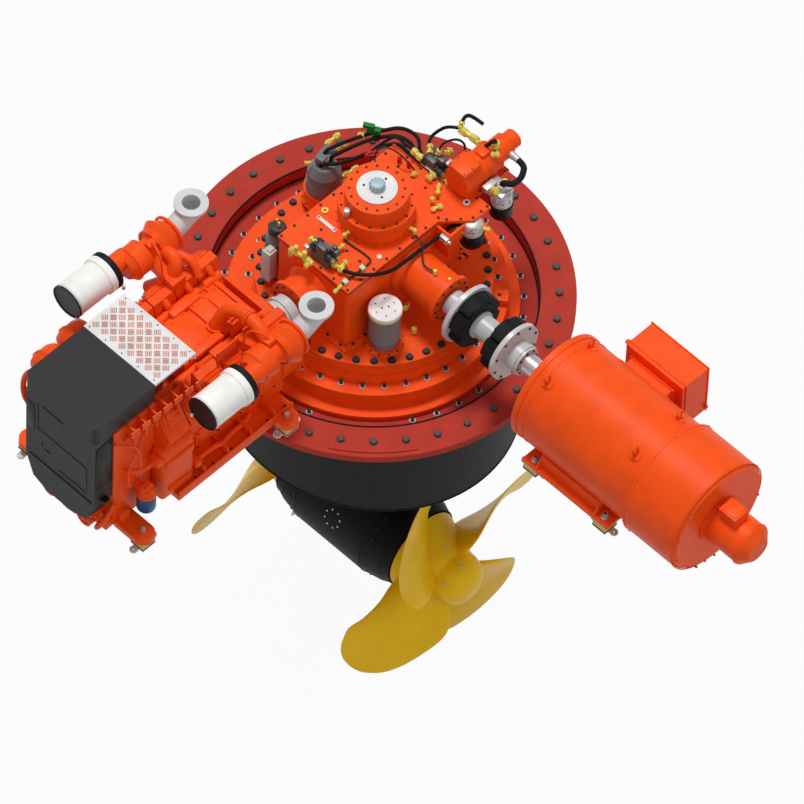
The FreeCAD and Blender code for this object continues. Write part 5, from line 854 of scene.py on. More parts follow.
# Terminal box: welded sheet with a bolted lid on its outer side, a raised joint frame against
# the neck, two hinge knobs and four cable glands below.
hand_over("terminal_box_lid_and_frame", orange_paint,
    blocks([((0.64, 0.012, 0.574), (2.5235, 0.894, 0.619), 0.004),
    ((0.641, 0.014, 0.574), (2.5235, 0.64, 0.619), 0.003),
    ((0.48, 0.02, 0.275), (2.5125, 0.59, 0.6675), 0.004),
    ((0.54, 0.012, 0.45), (2.5235, 0.902, 0.619), 0.006),
    ((0.04, 0.03, 0.03), (2.205, 0.625, 0.888), 0.006), ((0.04, 0.03, 0.03), (2.842, 0.88, 0.4), 0.006),
    ((0.54, 0.012, 0.03), (2.5125, 0.5, 0.8), 0.004)]))
lid_places = [(x, z) for x in (2.235, 2.43, 2.617, 2.812) for z in (0.362, 0.876)]
lid_places += [(x, z) for x in (2.235, 2.812) for z in (0.53, 0.71)]
hand_over("terminal_box_screws", bolt_black,
    copies(lie(hexagon(0.009, 0.008, 0.002), (0, 0.9, 0), (0, 1, 0)),
    [Matrix.Translation((x, 0, z)) for x, z in lid_places]))
hand_over("cable_glands", screw_black,
    [lie(turned([(0.02, 0), (0.034, 0.002), (0.034, 0.022), (0.027, 0.026), (0.027, 0.048),
    (0.018, 0.056)], 20), (2.3 + 0.15 * step, 0.747, 0.343), (0, 0, -1)) for step in range(4)])

# Motor feet: folded plates with end webs, welded along the shell; the beads are painted over.
foot_beads = [block((0.6, 0.012, 0.012), (2.65, side * 0.335, 0.402), 0.004) for side in (-1, 1)]
foot_beads += [block((0.028, 0.15, 0.012), (along, side * 0.4, 0.4005), 0.004) for along in (2.345, 2.955)
    for side in (-1, 1)]
hand_over("motor_foot_beads", orange_paint, foot_beads)

# Engine crankcase: the orange casting has inspection doors along each side, each held by four
# screws. A rounded oil cooler stands on the motor side, and water pipes run beside the casting.
doors, door_screws = [], []
for side in (-1, 1):
    for number in range(5):
        along = -1.62 - 0.238 * number
        doors.append(block((0.022, 0.175, 0.215), (side * 0.405, along, 0.7), 0.008))
        doors.append(block((0.03, 0.11, 0.14), (side * 0.409, along, 0.7), 0.01))
        for across, up in ((-0.07, -0.09), (0.07, -0.09), (-0.07, 0.09), (0.07, 0.09)):
            door_screws.append(lie(hexagon(0.009, 0.008, 0.002), (side * 0.416, along + across, 0.7 + up),
                (side, 0, 0)))
hand_over("crankcase_doors", orange_paint, doors)
hand_over("crankcase_door_screws", bolt_black, door_screws)
hand_over("oil_cooler", orange_paint,
    blocks([((0.15, 0.36, 0.64), (0.472, -2.745, 0.8), 0.045),
    ((0.03, 0.3, 0.06), (0.552, -2.745, 0.96), 0.01), ((0.03, 0.24, 0.02), (0.552, -2.745, 0.62), 0.006),
    ((0.11, 0.07, 0.07), (0.5, -2.52, 0.62), 0.016), ((0.11, 0.07, 0.07), (0.5, -2.96, 1.05), 0.016)]),
    angle=50)
hand_over("water_pipes", orange_paint,
    [bent_pipe([(0.5, -2.48, 0.62), (0.5, -2.3, 0.62), (0.505, -2.22, 0.56), (0.47, -2.1, 0.54),
    (0.47, -1.9, 0.54), (0.44, -1.85, 0.54)], 0.022, 8),
    bent_pipe([(0.5, -2.99, 1.05), (0.5, -3.08, 1.06), (0.47, -3.18, 1.08), (0.42, -3.22, 1.08)],
    0.022, 8), bent_pipe([(-0.48, -1.7, 0.56), (-0.48, -2.2, 0.56), (-0.48, -2.7, 0.56),
    (-0.45, -2.8, 0.6), (-0.41, -2.86, 0.64)], 0.02, 8)], angle=60)

# Rocker covers: each head carries a cast lid with a cooling rib and four screws. They are
# painted with the engine.
cylinder_places = [-1.45 - 0.2385 * (number + 0.5) for number in range(6)]
lids, lid_bolts = [], []
for side in (-1, 1):
    lean = Vector((side * 0.871, 0, 0.491))
    turn = facing(lean)
    for along in cylinder_places:
        spot = Vector((side * 0.465, along, 1.44)) + lean * 0.012
        for size, lift, edge in (((0.15, 0.196, 0.03), 0.0, 0.01), ((0.1, 0.15, 0.028), 0.022, 0.01),
            ((0.018, 0.12, 0.016), 0.042, 0.004)):
            lid = block(size, (0, 0, lift), edge)
            lid.matrix_world = Matrix.Translation(spot + lean * lift) @ turn
            lids.append(lid)
        for out, row in ((-0.062, -0.084), (0.062, -0.084), (-0.062, 0.084), (0.062, 0.084)):
            bolt = hexagon(0.0085, 0.01, 0.002)
            bolt.matrix_world = Matrix.Translation(spot + lean * 0.015) @ turn @ Matrix.Translation((out,
                row, 0))
            lid_bolts.append(bolt)
hand_over("rocker_covers", orange_paint, lids)
hand_over("rocker_cover_screws", orange_paint, lid_bolts)

# Charge-air manifold: a cast box lies in the valley behind the step plate, with bolted covers,
# and a log of pipe runs along the inner side of each bank.
valley = blocks([((0.42, 0.78, 0.26), (0, -1.97, 1.33), 0.016),
    ((0.33, 0.3, 0.03), (0, -1.8, 1.472), 0.008), ((0.33, 0.3, 0.03), (0, -2.15, 1.472), 0.008),
    ((0.23, 0.12, 0.024), (0, -1.73, 1.492), 0.006), ((0.08, 0.3, 0.05), (-0.2, -1.96, 1.48), 0.01),
    ((0.08, 0.3, 0.05), (0.2, -2.1, 1.48), 0.01)])
valley += [block((0.41, 0.018, 0.03), (0, -1.63 - 0.095 * step, 1.47), 0.004) for step in range(8)]
hand_over("charge_air_box", orange_paint, valley)
logs = [bent_pipe([(side * 0.262, -1.5, 1.4), (side * 0.262, -1.8, 1.4), (side * 0.262, -2.4, 1.4),
    (side * 0.262, -2.86, 1.4)], 0.042, 9) for side in (-1, 1)]
runners = [bent_pipe([(side * 0.262, along, 1.4), (side * 0.3, along, 1.47), (side * 0.345, along, 1.48)],
    0.03, 8) for side in (-1, 1) for along in cylinder_places]
hand_over("intake_logs", orange_paint, logs + runners, angle=60)
hand_over("charge_air_box_screws", orange_paint,
    copies(hexagon(0.01, 0.01, 0.002),
    at_places([(x, y) for x in (-0.145, 0.145) for y in (-1.68, -1.8, -1.92, -2.03, -2.15, -2.27)],
    1.487)))

# Exhaust pipes: cast elbows carry the gas from the banks up to each turbocharger, with clamped
# pairs of flanges on them.
hand_over("exhaust_elbows", orange_paint,
    [bent_pipe([(0.118, -1.94, 1.44), (0.125, -1.9, 1.56), (0.17, -1.845, 1.69), (0.29, -1.815, 1.745),
    (0.43, -1.815, 1.745), (0.56, -1.835, 1.72), (0.64, -1.85, 1.66)], 0.058, 10),
    bent_pipe([(0.24, -1.86, 1.45), (0.28, -1.79, 1.59), (0.38, -1.76, 1.64), (0.48, -1.76, 1.61),
    (0.56, -1.79, 1.58)], 0.036, 9),
    bent_pipe([(-0.6, -1.96, 1.33), (-0.52, -1.935, 1.42), (-0.45, -1.88, 1.54), (-0.43, -1.83, 1.64),
    (-0.48, -1.8, 1.7), (-0.58, -1.8, 1.69), (-0.64, -1.8, 1.66)], 0.058, 10),
    bent_pipe([(-0.3, -1.7, 1.52), (-0.36, -1.68, 1.6), (-0.45, -1.7, 1.64), (-0.56, -1.73, 1.62)],
    0.036, 9)], angle=60)

def pipe_collar(place, axis, radius):
    """A pair of flanges clamped on a pipe."""
    ring = turned([(radius, 0), (radius + 0.016, 0), (radius + 0.018, 0.002), (radius + 0.018, 0.014),
        (radius + 0.006, 0.017), (radius + 0.018, 0.02), (radius + 0.018, 0.034), (radius + 0.016, 0.036),
        (radius, 0.036), (radius, 0)], 32)
    return lie(ring, place, axis)

hand_over("exhaust_collars", orange_paint,
    [pipe_collar((0.35, -1.816, 1.744), (1, 0, 0), 0.057),
    pipe_collar((-0.47, -1.912, 1.485), (0.35, 0.3, 0.9), 0.057),
    pipe_collar((0.12, -1.932, 1.47), (0, 0.1, 1), 0.057),
    pipe_collar((0.4, -1.762, 1.636), (1, 0, -0.1), 0.035)])

# Turbochargers: the drums are cast, with turned bands and rings of screws. A thin oil pipe
# feeds each bearing from above, and silver clips join the boost pipes.
turbo_parts, turbo_screws = [], []
for side in (-1, 1):
    centre = Vector((side * 0.7, 0, 1.65))
    for along, radius in ((-1.625, 0.15), (-1.815, 0.14), (-1.935, 0.132), (-2.06, 0.14)):
        turbo_parts.append(shell_ring(radius - 0.012, radius + 0.01, 0.022,
            centre + Vector((0, along, 0)), (0, -1, 0), 56))
    turbo_parts.append(block((0.11, 0.12, 0.07), centre + Vector((-side * 0.14, -1.88, -0.06)), 0.014))
    turbo_parts.append(block((0.07, 0.09, 0.06), centre + Vector((-side * 0.04, -1.88, 0.12)), 0.012))
    turbo_parts.append(bent_pipe([centre + Vector((-side * 0.04, -1.88, 0.14)),
        centre + Vector((-side * 0.06, -1.89, 0.19)), centre + Vector((-side * 0.18, -1.93, 0.19)),
        centre + Vector((-side * 0.24, -1.95, 0.08)), centre + Vector((-side * 0.25, -1.96, -0.1))],
        0.01, 6))
    for along, radius, count in ((-1.622, 0.128, 10), (-2.142, 0.09, 8)):
        for step in range(count):
            angle = math.radians(360 / count * step)
            turbo_screws.append(lie(hexagon(0.008, 0.008, 0.002),
                centre + Vector((radius * math.cos(angle), along, radius * math.sin(angle))),
                (0, 1 if along > -1.7 else -1, 0)))
hand_over("turbocharger_bands", orange_paint, turbo_parts, angle=50)
hand_over("turbocharger_screws", orange_paint, turbo_screws)
hand_over("boost_pipe_clips", silver,
    [pipe_collar((0.545, -1.79, 1.585), (1, -0.3, -0.2), 0.036),
    pipe_collar((-0.545, -1.728, 1.625), (-1, -0.3, -0.1), 0.036),
    lie(hexagon(0.02, 0.05, 0.004), (0.64, -2.3, 1.52)),
    lie(hexagon(0.016, 0.04, 0.004), (-0.61, -2.23, 1.56))])

# Air filters: cream enamelled shells with a black end cap set into the front and a black
# rubber sleeve, held by a band, over the rear neck.
filter_caps, filter_sleeves, filter_bands = [], [], []
for side in (-1, 1):
    centre = Vector((side * 0.757, 0, 1.693))
    cap = turned([(0.15, 0), (0.1545, 0.002), (0.1545, 0.012), (0.148, 0.014), (0.143, 0.006),
        (0.06, 0.004), (0.02, 0.004)], 64)
    filter_caps.append(lie(cap, centre + Vector((0, -2.7, 0)), (0, -1, 0)))
    sleeve = turned([(0.153, 0), (0.164, 0.002), (0.167, 0.006), (0.167, 0.052), (0.164, 0.058),
        (0.16, 0.062), (0.164, 0.066), (0.16, 0.09), (0.153, 0.092), (0.153, 0)], 64)
    filter_sleeves.append(lie(sleeve, centre + Vector((0, -2.245, 0)), (0, -1, 0)))
    filter_bands.append(shell_ring(0.152, 0.1555, 0.014, centre + Vector((0, -2.36, 0)), (0, -1, 0), 64))
    filter_bands.append(shell_ring(0.152, 0.1555, 0.014, centre + Vector((0, -2.672, 0)), (0, -1, 0), 64))
    filter_bands.append(lie(hexagon(0.014, 0.04, 0.003), centre + Vector((side * -0.11, -2.69, -0.11)),
        (0, -1, 0)))
hand_over("air_filter_caps", filter_black, filter_caps)
hand_over("air_filter_sleeves", black_rubber, filter_sleeves)
hand_over("air_filter_bands", filter_white, filter_bands)

# Side ribs: pressed brackets stand along the motor side under the hood and carry its cables.
rib_parts = [block((0.1, 0.016, 0.17), (0.452, -2.48 - 0.118 * step, 1.59), 0.003) for step in range(7)]
rib_parts += [block((0.016, 0.09, 0.06), (0.496, -2.48 - 0.118 * step, 1.64), 0.003) for step in range(7)]
rib_parts += blocks([((0.026, 0.82, 0.036), (0.43, -2.83, 1.52), 0.006),
    ((0.13, 0.15, 0.014), (0.352, -2.1, 1.545), 0.003), ((0.016, 0.24, 0.15), (0.4, -2.08, 1.58), 0.004)])
hand_over("engine_side_ribs", orange_paint, rib_parts)

# Left-side castings: two rounded thermostat housings and a bent hose with a drain knob stand
# beside the hood.
humps = []
for along, height in ((-2.7, 1.28), (-2.985, 1.23)):
    hump = turned([(0.07, 0), (0.118, 0.02), (0.138, 0.07), (0.138, 0.19), (0.118, 0.245), (0.07, 0.268),
        (0.02, 0.272)], 40)
    humps.append(lie(hump, (-0.66, along + 0.136, height), (0, -1, 0)))
    humps.append(block((0.2, 0.16, 0.12), (-0.54, along, height - 0.06), 0.02))
    humps.append(pipe_collar((-0.66, along - 0.02, height), (0, -1, 0), 0.13))
humps.append(bent_pipe([(-0.42, -3.28, 1.56), (-0.52, -3.3, 1.58), (-0.59, -3.33, 1.5),
    (-0.61, -3.34, 1.32), (-0.59, -3.33, 1.16), (-0.5, -3.3, 1.06), (-0.41, -3.28, 1.04)], 0.024, 8))
knob = turned([(0.02, 0), (0.048, 0.006), (0.056, 0.024), (0.048, 0.042), (0.02, 0.048)], 28)
humps.append(lie(knob, (-0.455, -3.2, 1.0), (-1, 0, 0)))
hand_over("thermostat_housings", orange_paint, humps, angle=50)

# Step plate: white painted sheet over the engine, with 4 mm raised bars in a basket weave of
# brown grip compound, and black screws along the edges.
plate_bottom, plate_top = 1.87, 1.896
step_sheet = together(blocks([((0.8, 0.449, plate_top - plate_bottom),
    (0, -2.6565, (plate_top + plate_bottom) / 2), 0.003), ((0.8, 0.012, 0.06), (0, -2.438, 1.846), 0.003),
    ((0.23, 0.02, 0.79), (0, -2.502, 1.476), 0.004), ((0.23, 0.1, 0.014), (0, -2.52, 1.862), 0.003)]))
step_white = coat("step_white_paint", (0.8, 0.79, 0.8), rough=0.48, peel=0.06)
hand_over("step_sheet", step_white, step_sheet)
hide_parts("engine_step_plate")
grip_brown = coat("grip_compound", (0.62, 0.285, 0.2), rough=0.75, peel=0.3, grain=600, spread=0.2)
pad_pitch, pad_half, slant = 0.069, 0.0245, 0.7071
eighth_turn = Matrix.Rotation(math.radians(45), 4, "Z")
grips = []
for row in range(-8, 9):
    for column in range(-8, 9):
        across_step = (column - row) * pad_pitch * slant
        along_step = (column + row) * pad_pitch * slant
        if abs(across_step) < 0.345 and abs(along_step) < 0.185:
            for bar in range(4):
                shift = (bar - 1.5) * 0.014
                long_way = (row + column) % 2
                size = (0.0085, pad_half * 2, 0.004) if long_way else (pad_half * 2, 0.0085, 0.004)
                offset = Vector((shift, 0, 0)) if long_way else Vector((0, shift, 0))
                offset.rotate(eighth_turn)
                spot = Vector((across_step, -2.6565 + along_step, plate_top + 0.0015)) + offset
                grips.append(Matrix.Translation(spot) @ eighth_turn
                    @ Matrix.Diagonal((size[0] / 0.01, size[1] / 0.01, 1, 1)))
grip_bar = block((0.01, 0.01, 0.004), (0, 0, 0), 0.0008)
hand_over("step_grip_bars", grip_brown, copies(grip_bar, grips))
hand_over("step_screws", bolt_black,
    copies(hexagon(0.007, 0.003, 0.001),
    at_places([(x, y) for y in (-2.46, -2.853) for x in (-0.36, -0.18, 0, 0.18, 0.36)], plate_top)))

# Engine hood: a moulded black cover in two halves over a sheet-steel front. The joint lines,
# a sight slot and a black catch show on its face.
hood_black = coat("hood_front_black", (0.0085, 0.0085, 0.009), rough=0.42, peel=0.05)
hand_over("front_cover_seams", hood_grey,
    blocks([((0.56, 0.006, 0.01), (0.01, -3.523, 1.285), 0.002),
    ((0.24, 0.006, 0.01), (-0.09, -3.523, 1.62), 0.002),
    ((0.01, 0.006, 0.38), (-0.255, -3.523, 1.43), 0.002),
    ((0.01, 0.006, 0.33), (0.29, -3.523, 1.12), 0.002),
    ((0.3, 0.006, 0.01), (0.14, -3.523, 0.955), 0.002),
    ((0.08, 0.006, 0.32), (-0.33, -3.523, 1.4), 0.002), ((0.7, 0.008, 0.018), (0, -3.525, 0.87), 0.003),
    ((0.74, 0.64, 0.006), (0, -3.205, 1.8835), 0.002)]))
hand_over("front_cover_catch", screw_black,
    blocks([((0.07, 0.007, 0.012), (-0.15, -3.524, 1.075), 0.002),
    ((0.012, 0.008, 0.05), (-0.21, -3.524, 1.1), 0.002)]))
hand_over("front_cover_sides", hood_black,
    blocks([((0.006, 0.18, 0.56), (0.387, -3.42, 1.33), 0.002),
    ((0.006, 0.18, 0.56), (-0.387, -3.42, 1.33), 0.002),
    ((0.07, 0.06, 0.02), (0.405, -3.43, 0.9), 0.004)]))

# Engine front end: four pulleys and two small housings sit low under the black cover, and
# three thin pipes rise on the motor side.
drive_end = []
for across, height, radius in ((0, 0.5, 0.12), (0.19, 0.43, 0.078), (0.28, 0.56, 0.06),
    (-0.2, 0.44, 0.07)):
    pulley = turned([(radius * 0.4, 0), (radius * 0.4, 0.05), (radius, 0.052), (radius, 0.06),
        (radius * 0.88, 0.072), (radius, 0.084), (radius * 0.88, 0.096), (radius, 0.108), (radius, 0.116),
        (radius * 0.8, 0.118), (radius * 0.74, 0.104), (radius * 0.3, 0.104), (radius * 0.26, 0.122),
        (0.006, 0.124)], 40)
    drive_end.append(lie(pulley, (across, -3.33, height), (0, -1, 0)))
drive_end += [*blocks([((0.13, 0.08, 0.11), (0.33, -3.36, 0.47), 0.016),
    ((0.09, 0.09, 0.14), (0.42, -3.24, 0.52), 0.014)]),
    bent_pipe([(0.33, -3.4, 0.47), (0.34, -3.47, 0.47), (0.4, -3.47, 0.56), (0.43, -3.4, 0.68),
    (0.42, -3.34, 0.76)], 0.02, 8),
    bent_pipe([(0.45, -3.02, 1.52), (0.455, -3.15, 1.3), (0.455, -3.24, 1.05), (0.46, -3.2, 0.9)],
    0.01, 6), bent_pipe([(0.42, -3.34, 1.56), (0.44, -3.27, 1.48), (0.47, -3.18, 1.44),
    (0.48, -3.11, 1.3), (0.49, -3.11, 1.0)], 0.012, 6)]
hand_over("engine_front_end", orange_paint, drive_end, angle=50)

# Oil filter: a blue spin-on can under an orange head, with a wrench boss pressed in its foot.
oil_can = Vector((0.52, -3.079, 0))
can_parts = [lie(turned([(0.02, 0), (0.022, 0.004), (0.062, 0.006), (0.074, 0.014), (0.0795, 0.03),
    (0.0795, 0.18), (0.077, 0.188)], 48), oil_can + Vector((0, 0, 0.5595)))]
can_parts.append(lie(hexagon(0.028, 0.012, 0.002), oil_can + Vector((0, 0, 0.562)), (0, 0, -1)))
hand_over("oil_filter_can", filter_blue, can_parts)
hand_over("oil_filter_head", orange_paint,
    [lie(turned([(0.06, 0), (0.084, 0.002), (0.084, 0.02), (0.07, 0.03), (0.066, 0.068), (0.04, 0.084),
    (0.01, 0.086)], 40), oil_can + Vector((0, 0, 0.75))),
    *blocks([((0.12, 0.06, 0.06), (0.44, -3.085, 0.785), 0.012),
    ((0.06, 0.11, 0.04), (0.52, -3.09, 0.85), 0.01)]),
    lie(hexagon(0.018, 0.03, 0.003), oil_can + Vector((0.03, -0.02, 0.85)))])
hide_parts("oil_filter")

# Flywheel housing and rear end: a ring of screws joins the bell to the crankcase. The starter
# motor, the lifting ring and the rear covers are bolted beside it.
hand_over("flywheel_housing_screws", orange_paint,
    head_circle((0.01, 0.01, 0.002), (0.405, -1.29, input_height), (0, 1, 0), 24, shaft="Y"))
hand_over("engine_rear_parts", orange_paint,
    [lie(turned([(0.02, 0), (0.052, 0.002), (0.06, 0.01), (0.06, 0.3), (0.052, 0.312), (0.02, 0.314)],
    36), (-0.475, -1.33, 0.6), (0, -1, 0)),
    lie(turned([(0.016, 0), (0.032, 0.002), (0.032, 0.17), (0.016, 0.174)], 24), (-0.475, -1.38, 0.69),
    (0, -1, 0)), shell_ring(0.058, 0.11, 0.06, (-0.487, -1.4, 0.985), (0, 0, 1), 48),
    *blocks([((0.18, 0.14, 0.06), (-0.43, -1.52, 0.96), 0.016),
    ((0.56, 0.03, 0.26), (0, -1.44, 1.18), 0.012), ((0.12, 0.06, 0.12), (0.3, -1.44, 1.18), 0.014),
    ((0.12, 0.06, 0.12), (-0.3, -1.44, 1.18), 0.014)])])

# Engine rails: welded gussets stand between each rail and the crankcase, and screws hold the
# rail to its mounting arms.
gussets = [block((0.18, 0.014, 0.1), (side * 0.49, -1.7 - 0.26 * step, 0.528), 0.003) for side in (-1, 1)
    for step in range(4)]
gussets += [block((0.014, 1.27, 0.04), (side * 0.582, -2.14, 0.5), 0.003) for side in (-1, 1)]
hand_over("rail_gussets", orange_paint, gussets)
hand_over("rail_bolts", bolt_black,
    copies(hexagon(0.012, 0.011, 0.003),
    at_places([(side * 0.55, -1.56 - 0.2 * step) for side in (-1, 1) for step in range(6)], 0.48)))

# Well casing: rolled plate under the flange, welded at the neck, at the bottom edge and down one
# seam. A bolted ring under it clamps the seal round the turning strut.
rim_slope = math.tan(math.radians(7.4))
rim_azimuth = math.radians(42.7)
rim_bead = seal_ring(1.2505, 0, 0.006)
rim_bead.data.transform(Matrix(((1, 0, 0, 0), (0, 1, 0, 0),
    (-rim_slope * math.cos(rim_azimuth), -rim_slope * math.sin(rim_azimuth), 1, -1.275), (0, 0, 0, 1))))
seam_angle = math.radians(132.7)
casing_seam = block((0.01, 0.026, 1.0),
    (1.251 * math.cos(seam_angle), 1.251 * math.sin(seam_angle), -0.76), 0.004, 132.7)
hand_over("casing_weld_beads", black_paint, [rim_bead, seal_ring(1.2505, -0.24, 0.006), casing_seam],
    angle=60)
collar_end = -1.342
hand_over("strut_seal_clamp", black_paint,
    shell_ring(0.4225, 0.475, 0.014, (0, 0, collar_end), (0, 0, -1), 96))
clamp_head = lie(hexagon(0.012, 0.01, 0.003), (0.45, 0, collar_end - 0.0135), (0, 0, -1))
hand_over("strut_seal_clamp_screws", screw_black, copies(clamp_head, round_z(24)))

# Strut and pod: castings bolted together and coated black. A ring of screws holds the cover at
# each end of the pod, eight plated plugs close the inspection port on each flank, and two plugs
# under the belly drain the oil.
pod_axis = -2.93

def on_round(along, degrees, radius, taper=0.0):
    """A move to a place on a round form about the pod's axis, leaning out with its taper."""
    side = math.radians(degrees)
    outward = Vector((taper, math.sin(side), math.cos(side)))
    return Matrix.Translation((along, radius * math.sin(side),
        pod_axis + radius * math.cos(side))) @ facing(outward)

cover_screw = turned([(0.0105, -0.003), (0.0105, 0.004), (0.0085, 0.006), (0.0045, 0.006),
    (0.004, 0.002)], 12)
cover_places = [on_round(end * 0.44, -27 + 360 / 26 * number, 0.431, end * 0.194) for end in (-1, 1)
    for number in range(26)]
hand_over("pod_cover_screws", screw_black, copies(cover_screw, cover_places), body="steering_unit")
cover_rings = [shell_ring(0.438, 0.447, 0.01, (end * 0.376 - 0.005, 0, pod_axis)) for end in (-1, 1)]
cover_rings += [shell_ring(0.36, 0.3795, 0.012, (end * 0.642 - 0.006, 0, pod_axis)) for end in (-1, 1)]
hand_over("pod_cover_rings", black_paint, cover_rings, body="steering_unit")
port_turns = [math.radians(22.5 + 45 * number) for number in range(8)]
port_places = [on_round(0.03 + 0.08 * math.cos(turn),
    flank + math.degrees(0.08 * math.sin(turn) / 0.445), 0.445) for flank in (-66, 66)
    for turn in port_turns]
port_plug = turned([(0.0085, -0.004), (0.0085, 0.003), (0.007, 0.005), (0.0035, 0.005), (0.003, 0.002)],
    12)
drain_places = [on_round(along, 180, 0.444) for along in (-0.2, 0.2)]
hand_over("pod_port_plugs", zinc,
    [copies(port_plug, port_places), copies(hexagon(0.019, 0.012, 0.003), drain_places)],
    body="steering_unit")
hand_over("strut_collar_bead", black_paint, seal_ring(0.519, -1.486, 0.007), body="steering_unit",
    angle=60)

# Propellers: nickel bronze castings, each with four skewed blades on a tapered hub. A blade is
# thick at its root and thin at its round tip, and its sections are ground smooth. Rows give a
# blade from root to tip: chords and thickness are parts of the radius, skews degrees, rakes metres.
blade_stations = (0.18, 0.24, 0.42, 0.62, 0.8, 0.92, 0.968, 0.984, 0.988)
blade_chords = (0.2, 0.44, 0.63, 0.67, 0.62, 0.41, 0.23, 0.1, 0.02)
blade_skews = (33.0, 32.5, 29.9, 21.8, 11.2, 5.9, 3.2, 2.2, 2.0)
blade_rakes = (0.036, 0.048, 0.104, 0.088, 0.064, 0.045, 0.032, 0.026, 0.024)
blade_thickness = (0.08, 0.075, 0.055, 0.036, 0.024, 0.016, 0.011, 0.008, 0.004)
blade_reach, blade_pitch, blade_centre = 1.155, 1.923, 0.85

def between(values, station):
    """A value at a station, on the smooth line through a row of values."""
    spot = max((number for number, known in enumerate(blade_stations[:-1]) if known <= station))
    span = blade_stations[spot + 1] - blade_stations[spot]
    share = (station - blade_stations[spot]) / span
    slopes = []
    for here in (spot, spot + 1):
        before, after = max(here - 1, 0), min(here + 1, len(values) - 1)
        rise = values[after] - values[before]
        slopes.append(rise / (blade_stations[after] - blade_stations[before]) * span)
    square, cube = share ** 2, share ** 3
    return (2 * cube - 3 * square + 1) * values[spot] + (cube - 2 * square
        + share) * slopes[0] + (3 * square - 2 * cube) * values[spot + 1] + (cube - square) * slopes[1]

def blade_point(around, outward):
    """A point of a blade that stands along Y: round its section, and from root to tip."""
    station = 0.18 + 0.808 * math.sin(outward * math.pi / 2)
    radius = station * blade_reach
    twist = math.atan2(blade_pitch, 2 * math.pi * radius)
    skew = math.radians(between(blade_skews, station))
    out = Vector((0, math.cos(skew), math.sin(skew)))
    side = Vector((0, -out.z, out.y))
    chordwise = side * math.cos(twist) + Vector((1, 0, 0)) * math.sin(twist)
    normal = Vector((1, 0, 0)) * math.cos(twist) - side * math.sin(twist)
    half_chord = between(blade_chords, station) * blade_reach / 2
    half_thick = between(blade_thickness, station) * blade_reach / 2
    turn = around * 2 * math.pi
    return out * radius + Vector((between(blade_rakes, station),
        0, 0)) + chordwise * (half_chord * math.cos(turn)) + normal * (half_thick * math.sin(turn))

for end, phase, hub, node in ((1, 9.5, "near", "propeller_motor_side"),
    (-1, 8, "far", "propeller_far_side")):
    bpy.ops.object.select_all(action="DESELECT")
    bpy.ops.mesh.primitive_grid_add(x_subdivisions=36, y_subdivisions=32, size=1)
    blade = bpy.context.object
    for vertex in blade.data.vertices:
        vertex.co = blade_point(vertex.co.x + 0.5, vertex.co.y + 0.5)
        vertex.co.x *= end
    bpy.ops.object.mode_set(mode="EDIT")
    bpy.ops.mesh.select_all(action="SELECT")
    bpy.ops.mesh.remove_doubles(threshold=0.00005)
    bpy.ops.mesh.fill_holes(sides=0)
    bpy.ops.mesh.normals_make_consistent(inside=False)
    bpy.ops.object.mode_set(mode="OBJECT")
    blades = copies(blade, [Matrix.Translation((end * blade_centre, 0, pod_axis))
        @ Matrix.Rotation(math.radians(phase + 90 * number), 4, "X") for number in range(4)])
    boss = lie(turned([(0.358, 0), (0.362, 0.004), (0.331, 0.09), (0.2985, 0.18), (0.2665, 0.27),
        (0.237, 0.356), (0.233, 0.36)], 96), (end * 0.656, 0, pod_axis), (end, 0, 0))
    casting = hand_over(f"{hub}_propeller_casting", bronze, [boss, blades], body=f"{hub}_propeller",
        angle=50)
    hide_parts(node)

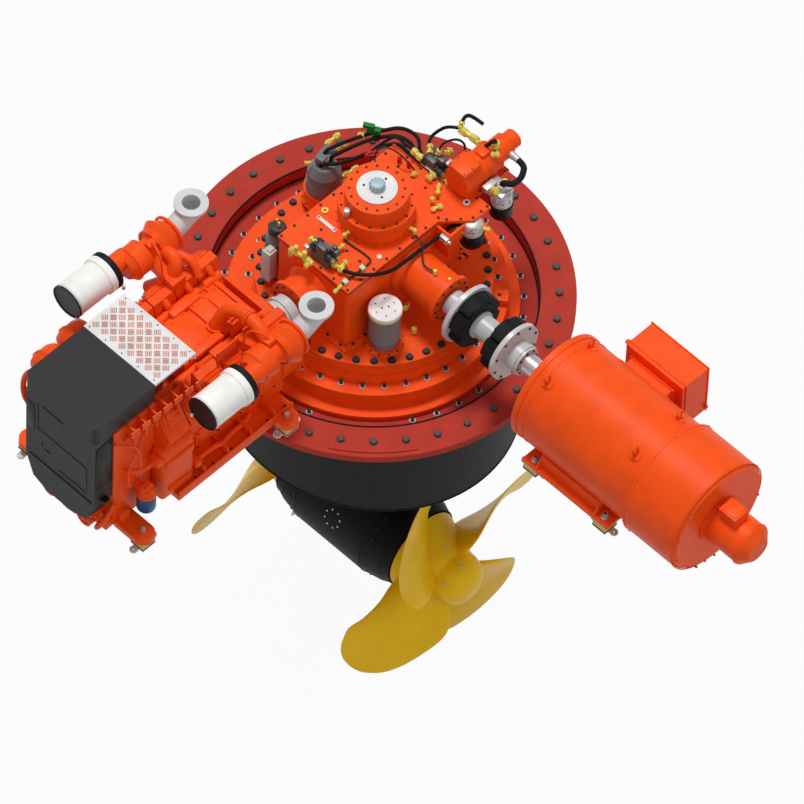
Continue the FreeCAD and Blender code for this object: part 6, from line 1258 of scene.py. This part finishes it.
# Propeller hubs: each bronze cap is held by seven recessed screws, and a screw between every two
# blades locks the hub to its shaft. A turned lip covers the joint between the hub and the cap.
cap_joint, cap_depth = 1.016, 0.234
cap_profile = [(0.235, 0), (0.235, 0.03)]
cap_profile += [(0.235 * (1 - (share / 12) ** 2.6) ** (1 / 2.6), cap_depth * share / 12)
    for share in range(3, 12)]
cap_profile += [(0.086, cap_depth * 0.97), (0.055, cap_depth * 0.988), (0.004, cap_depth - 0.0002)]
for end, hub in ((1, "near"), (-1, "far")):
    fixings = [on_round(end * 1.11, -3 + 360 / 7 * number, 0.2275, end * 0.313) for number in range(7)]
    fixings += [on_round(end * 0.931, -1 + 90 * number, 0.265, end * 0.353) for number in range(4)]
    rim = turned([(0.015, -0.004), (0.023, -0.004), (0.0225, 0.001), (0.0195, 0.003), (0.0165, 0.002),
        (0.015, -0.004)], 24)
    joint_lip = shell_ring(0.233, 0.2385, 0.009, (end * cap_joint - 0.0045, 0, pod_axis))
    hand_over(f"{hub}_hub_lips", bronze, [joint_lip, copies(rim, fixings)], body=f"{hub}_propeller")
    screw = turned([(0.0148, -0.005), (0.0148, 0.0005), (0.0135, 0.0015), (0.0065, 0.0015),
        (0.006, -0.003)], 18)
    hand_over(f"{hub}_hub_screws", zinc, copies(screw, fixings), body=f"{hub}_propeller")
    cap = lie(turned(cap_profile, 72), (end * cap_joint, 0, pod_axis), (end, 0, 0))
    hand_over(f"{hub}_hub_dome", bronze, cap, body=f"{hub}_propeller", angle=50)
    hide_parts(f"{hub}_hub_cap")

# Rubber mounts: a cream block is moulded between steel plates, with a black skirt round its foot
# and a plated rim on top. A nut on a plated washer holds each foot, and the ears are spot faced.
mount_places = [(across, along, 0.298, 0) for across in (2.265, 3.034) for along in (-0.46, 0.46)]
mount_places += [(across, along, 0.348, 90) for across in (-0.635, 0.635) for along in (-3.223, -1.622)]
mount_moves = [Matrix.Translation((across, along, base)) @ Matrix.Rotation(math.radians(ear_turn), 4, "Z")
    for across, along, base, ear_turn in mount_places]
quarter = Matrix.Rotation(math.radians(45), 4, "Z")
skirt = turned([(0.093, 0), (0.0995, 0), (0.0995, 0.01), (0.0975, 0.012), (0.093, 0.012), (0.093, 0)], 4)
hand_over("mount_skirts", black_rubber, copies(skirt, [move @ quarter for move in mount_moves]))
rim = turned([(0.093, 0.067), (0.0985, 0.067), (0.0985, 0.0715), (0.093, 0.0715), (0.093, 0.067)], 4)
hand_over("mount_rims", zinc, copies(rim, [move @ quarter for move in mount_moves]))
foot_washer = turned([(0.014, 0), (0.036, 0), (0.0365, 0.001), (0.0365, 0.004), (0.035, 0.005),
    (0.014, 0.005), (0.014, 0)], 28)
ear_face = turned([(0.0095, 0), (0.023, 0), (0.023, 0.001), (0.022, 0.002), (0.0095, 0.002), (0.0095, 0)],
    24)
hand_over("mount_washers", zinc,
    [copies(foot_washer, [move @ Matrix.Translation((0, 0, 0.102)) for move in mount_moves]),
    copies(ear_face, [move @ Matrix.Translation((ear, 0, 0)) for move in mount_moves
    for ear in (-0.105, 0.105)])])
stud_tip = turned([(0.0125, 0.1475), (0.0125, 0.1485), (0.01, 0.1505), (0.004, 0.1505)], 20)
hand_over("mount_stud_tips", bolt_black, copies(stud_tip, mount_moves))
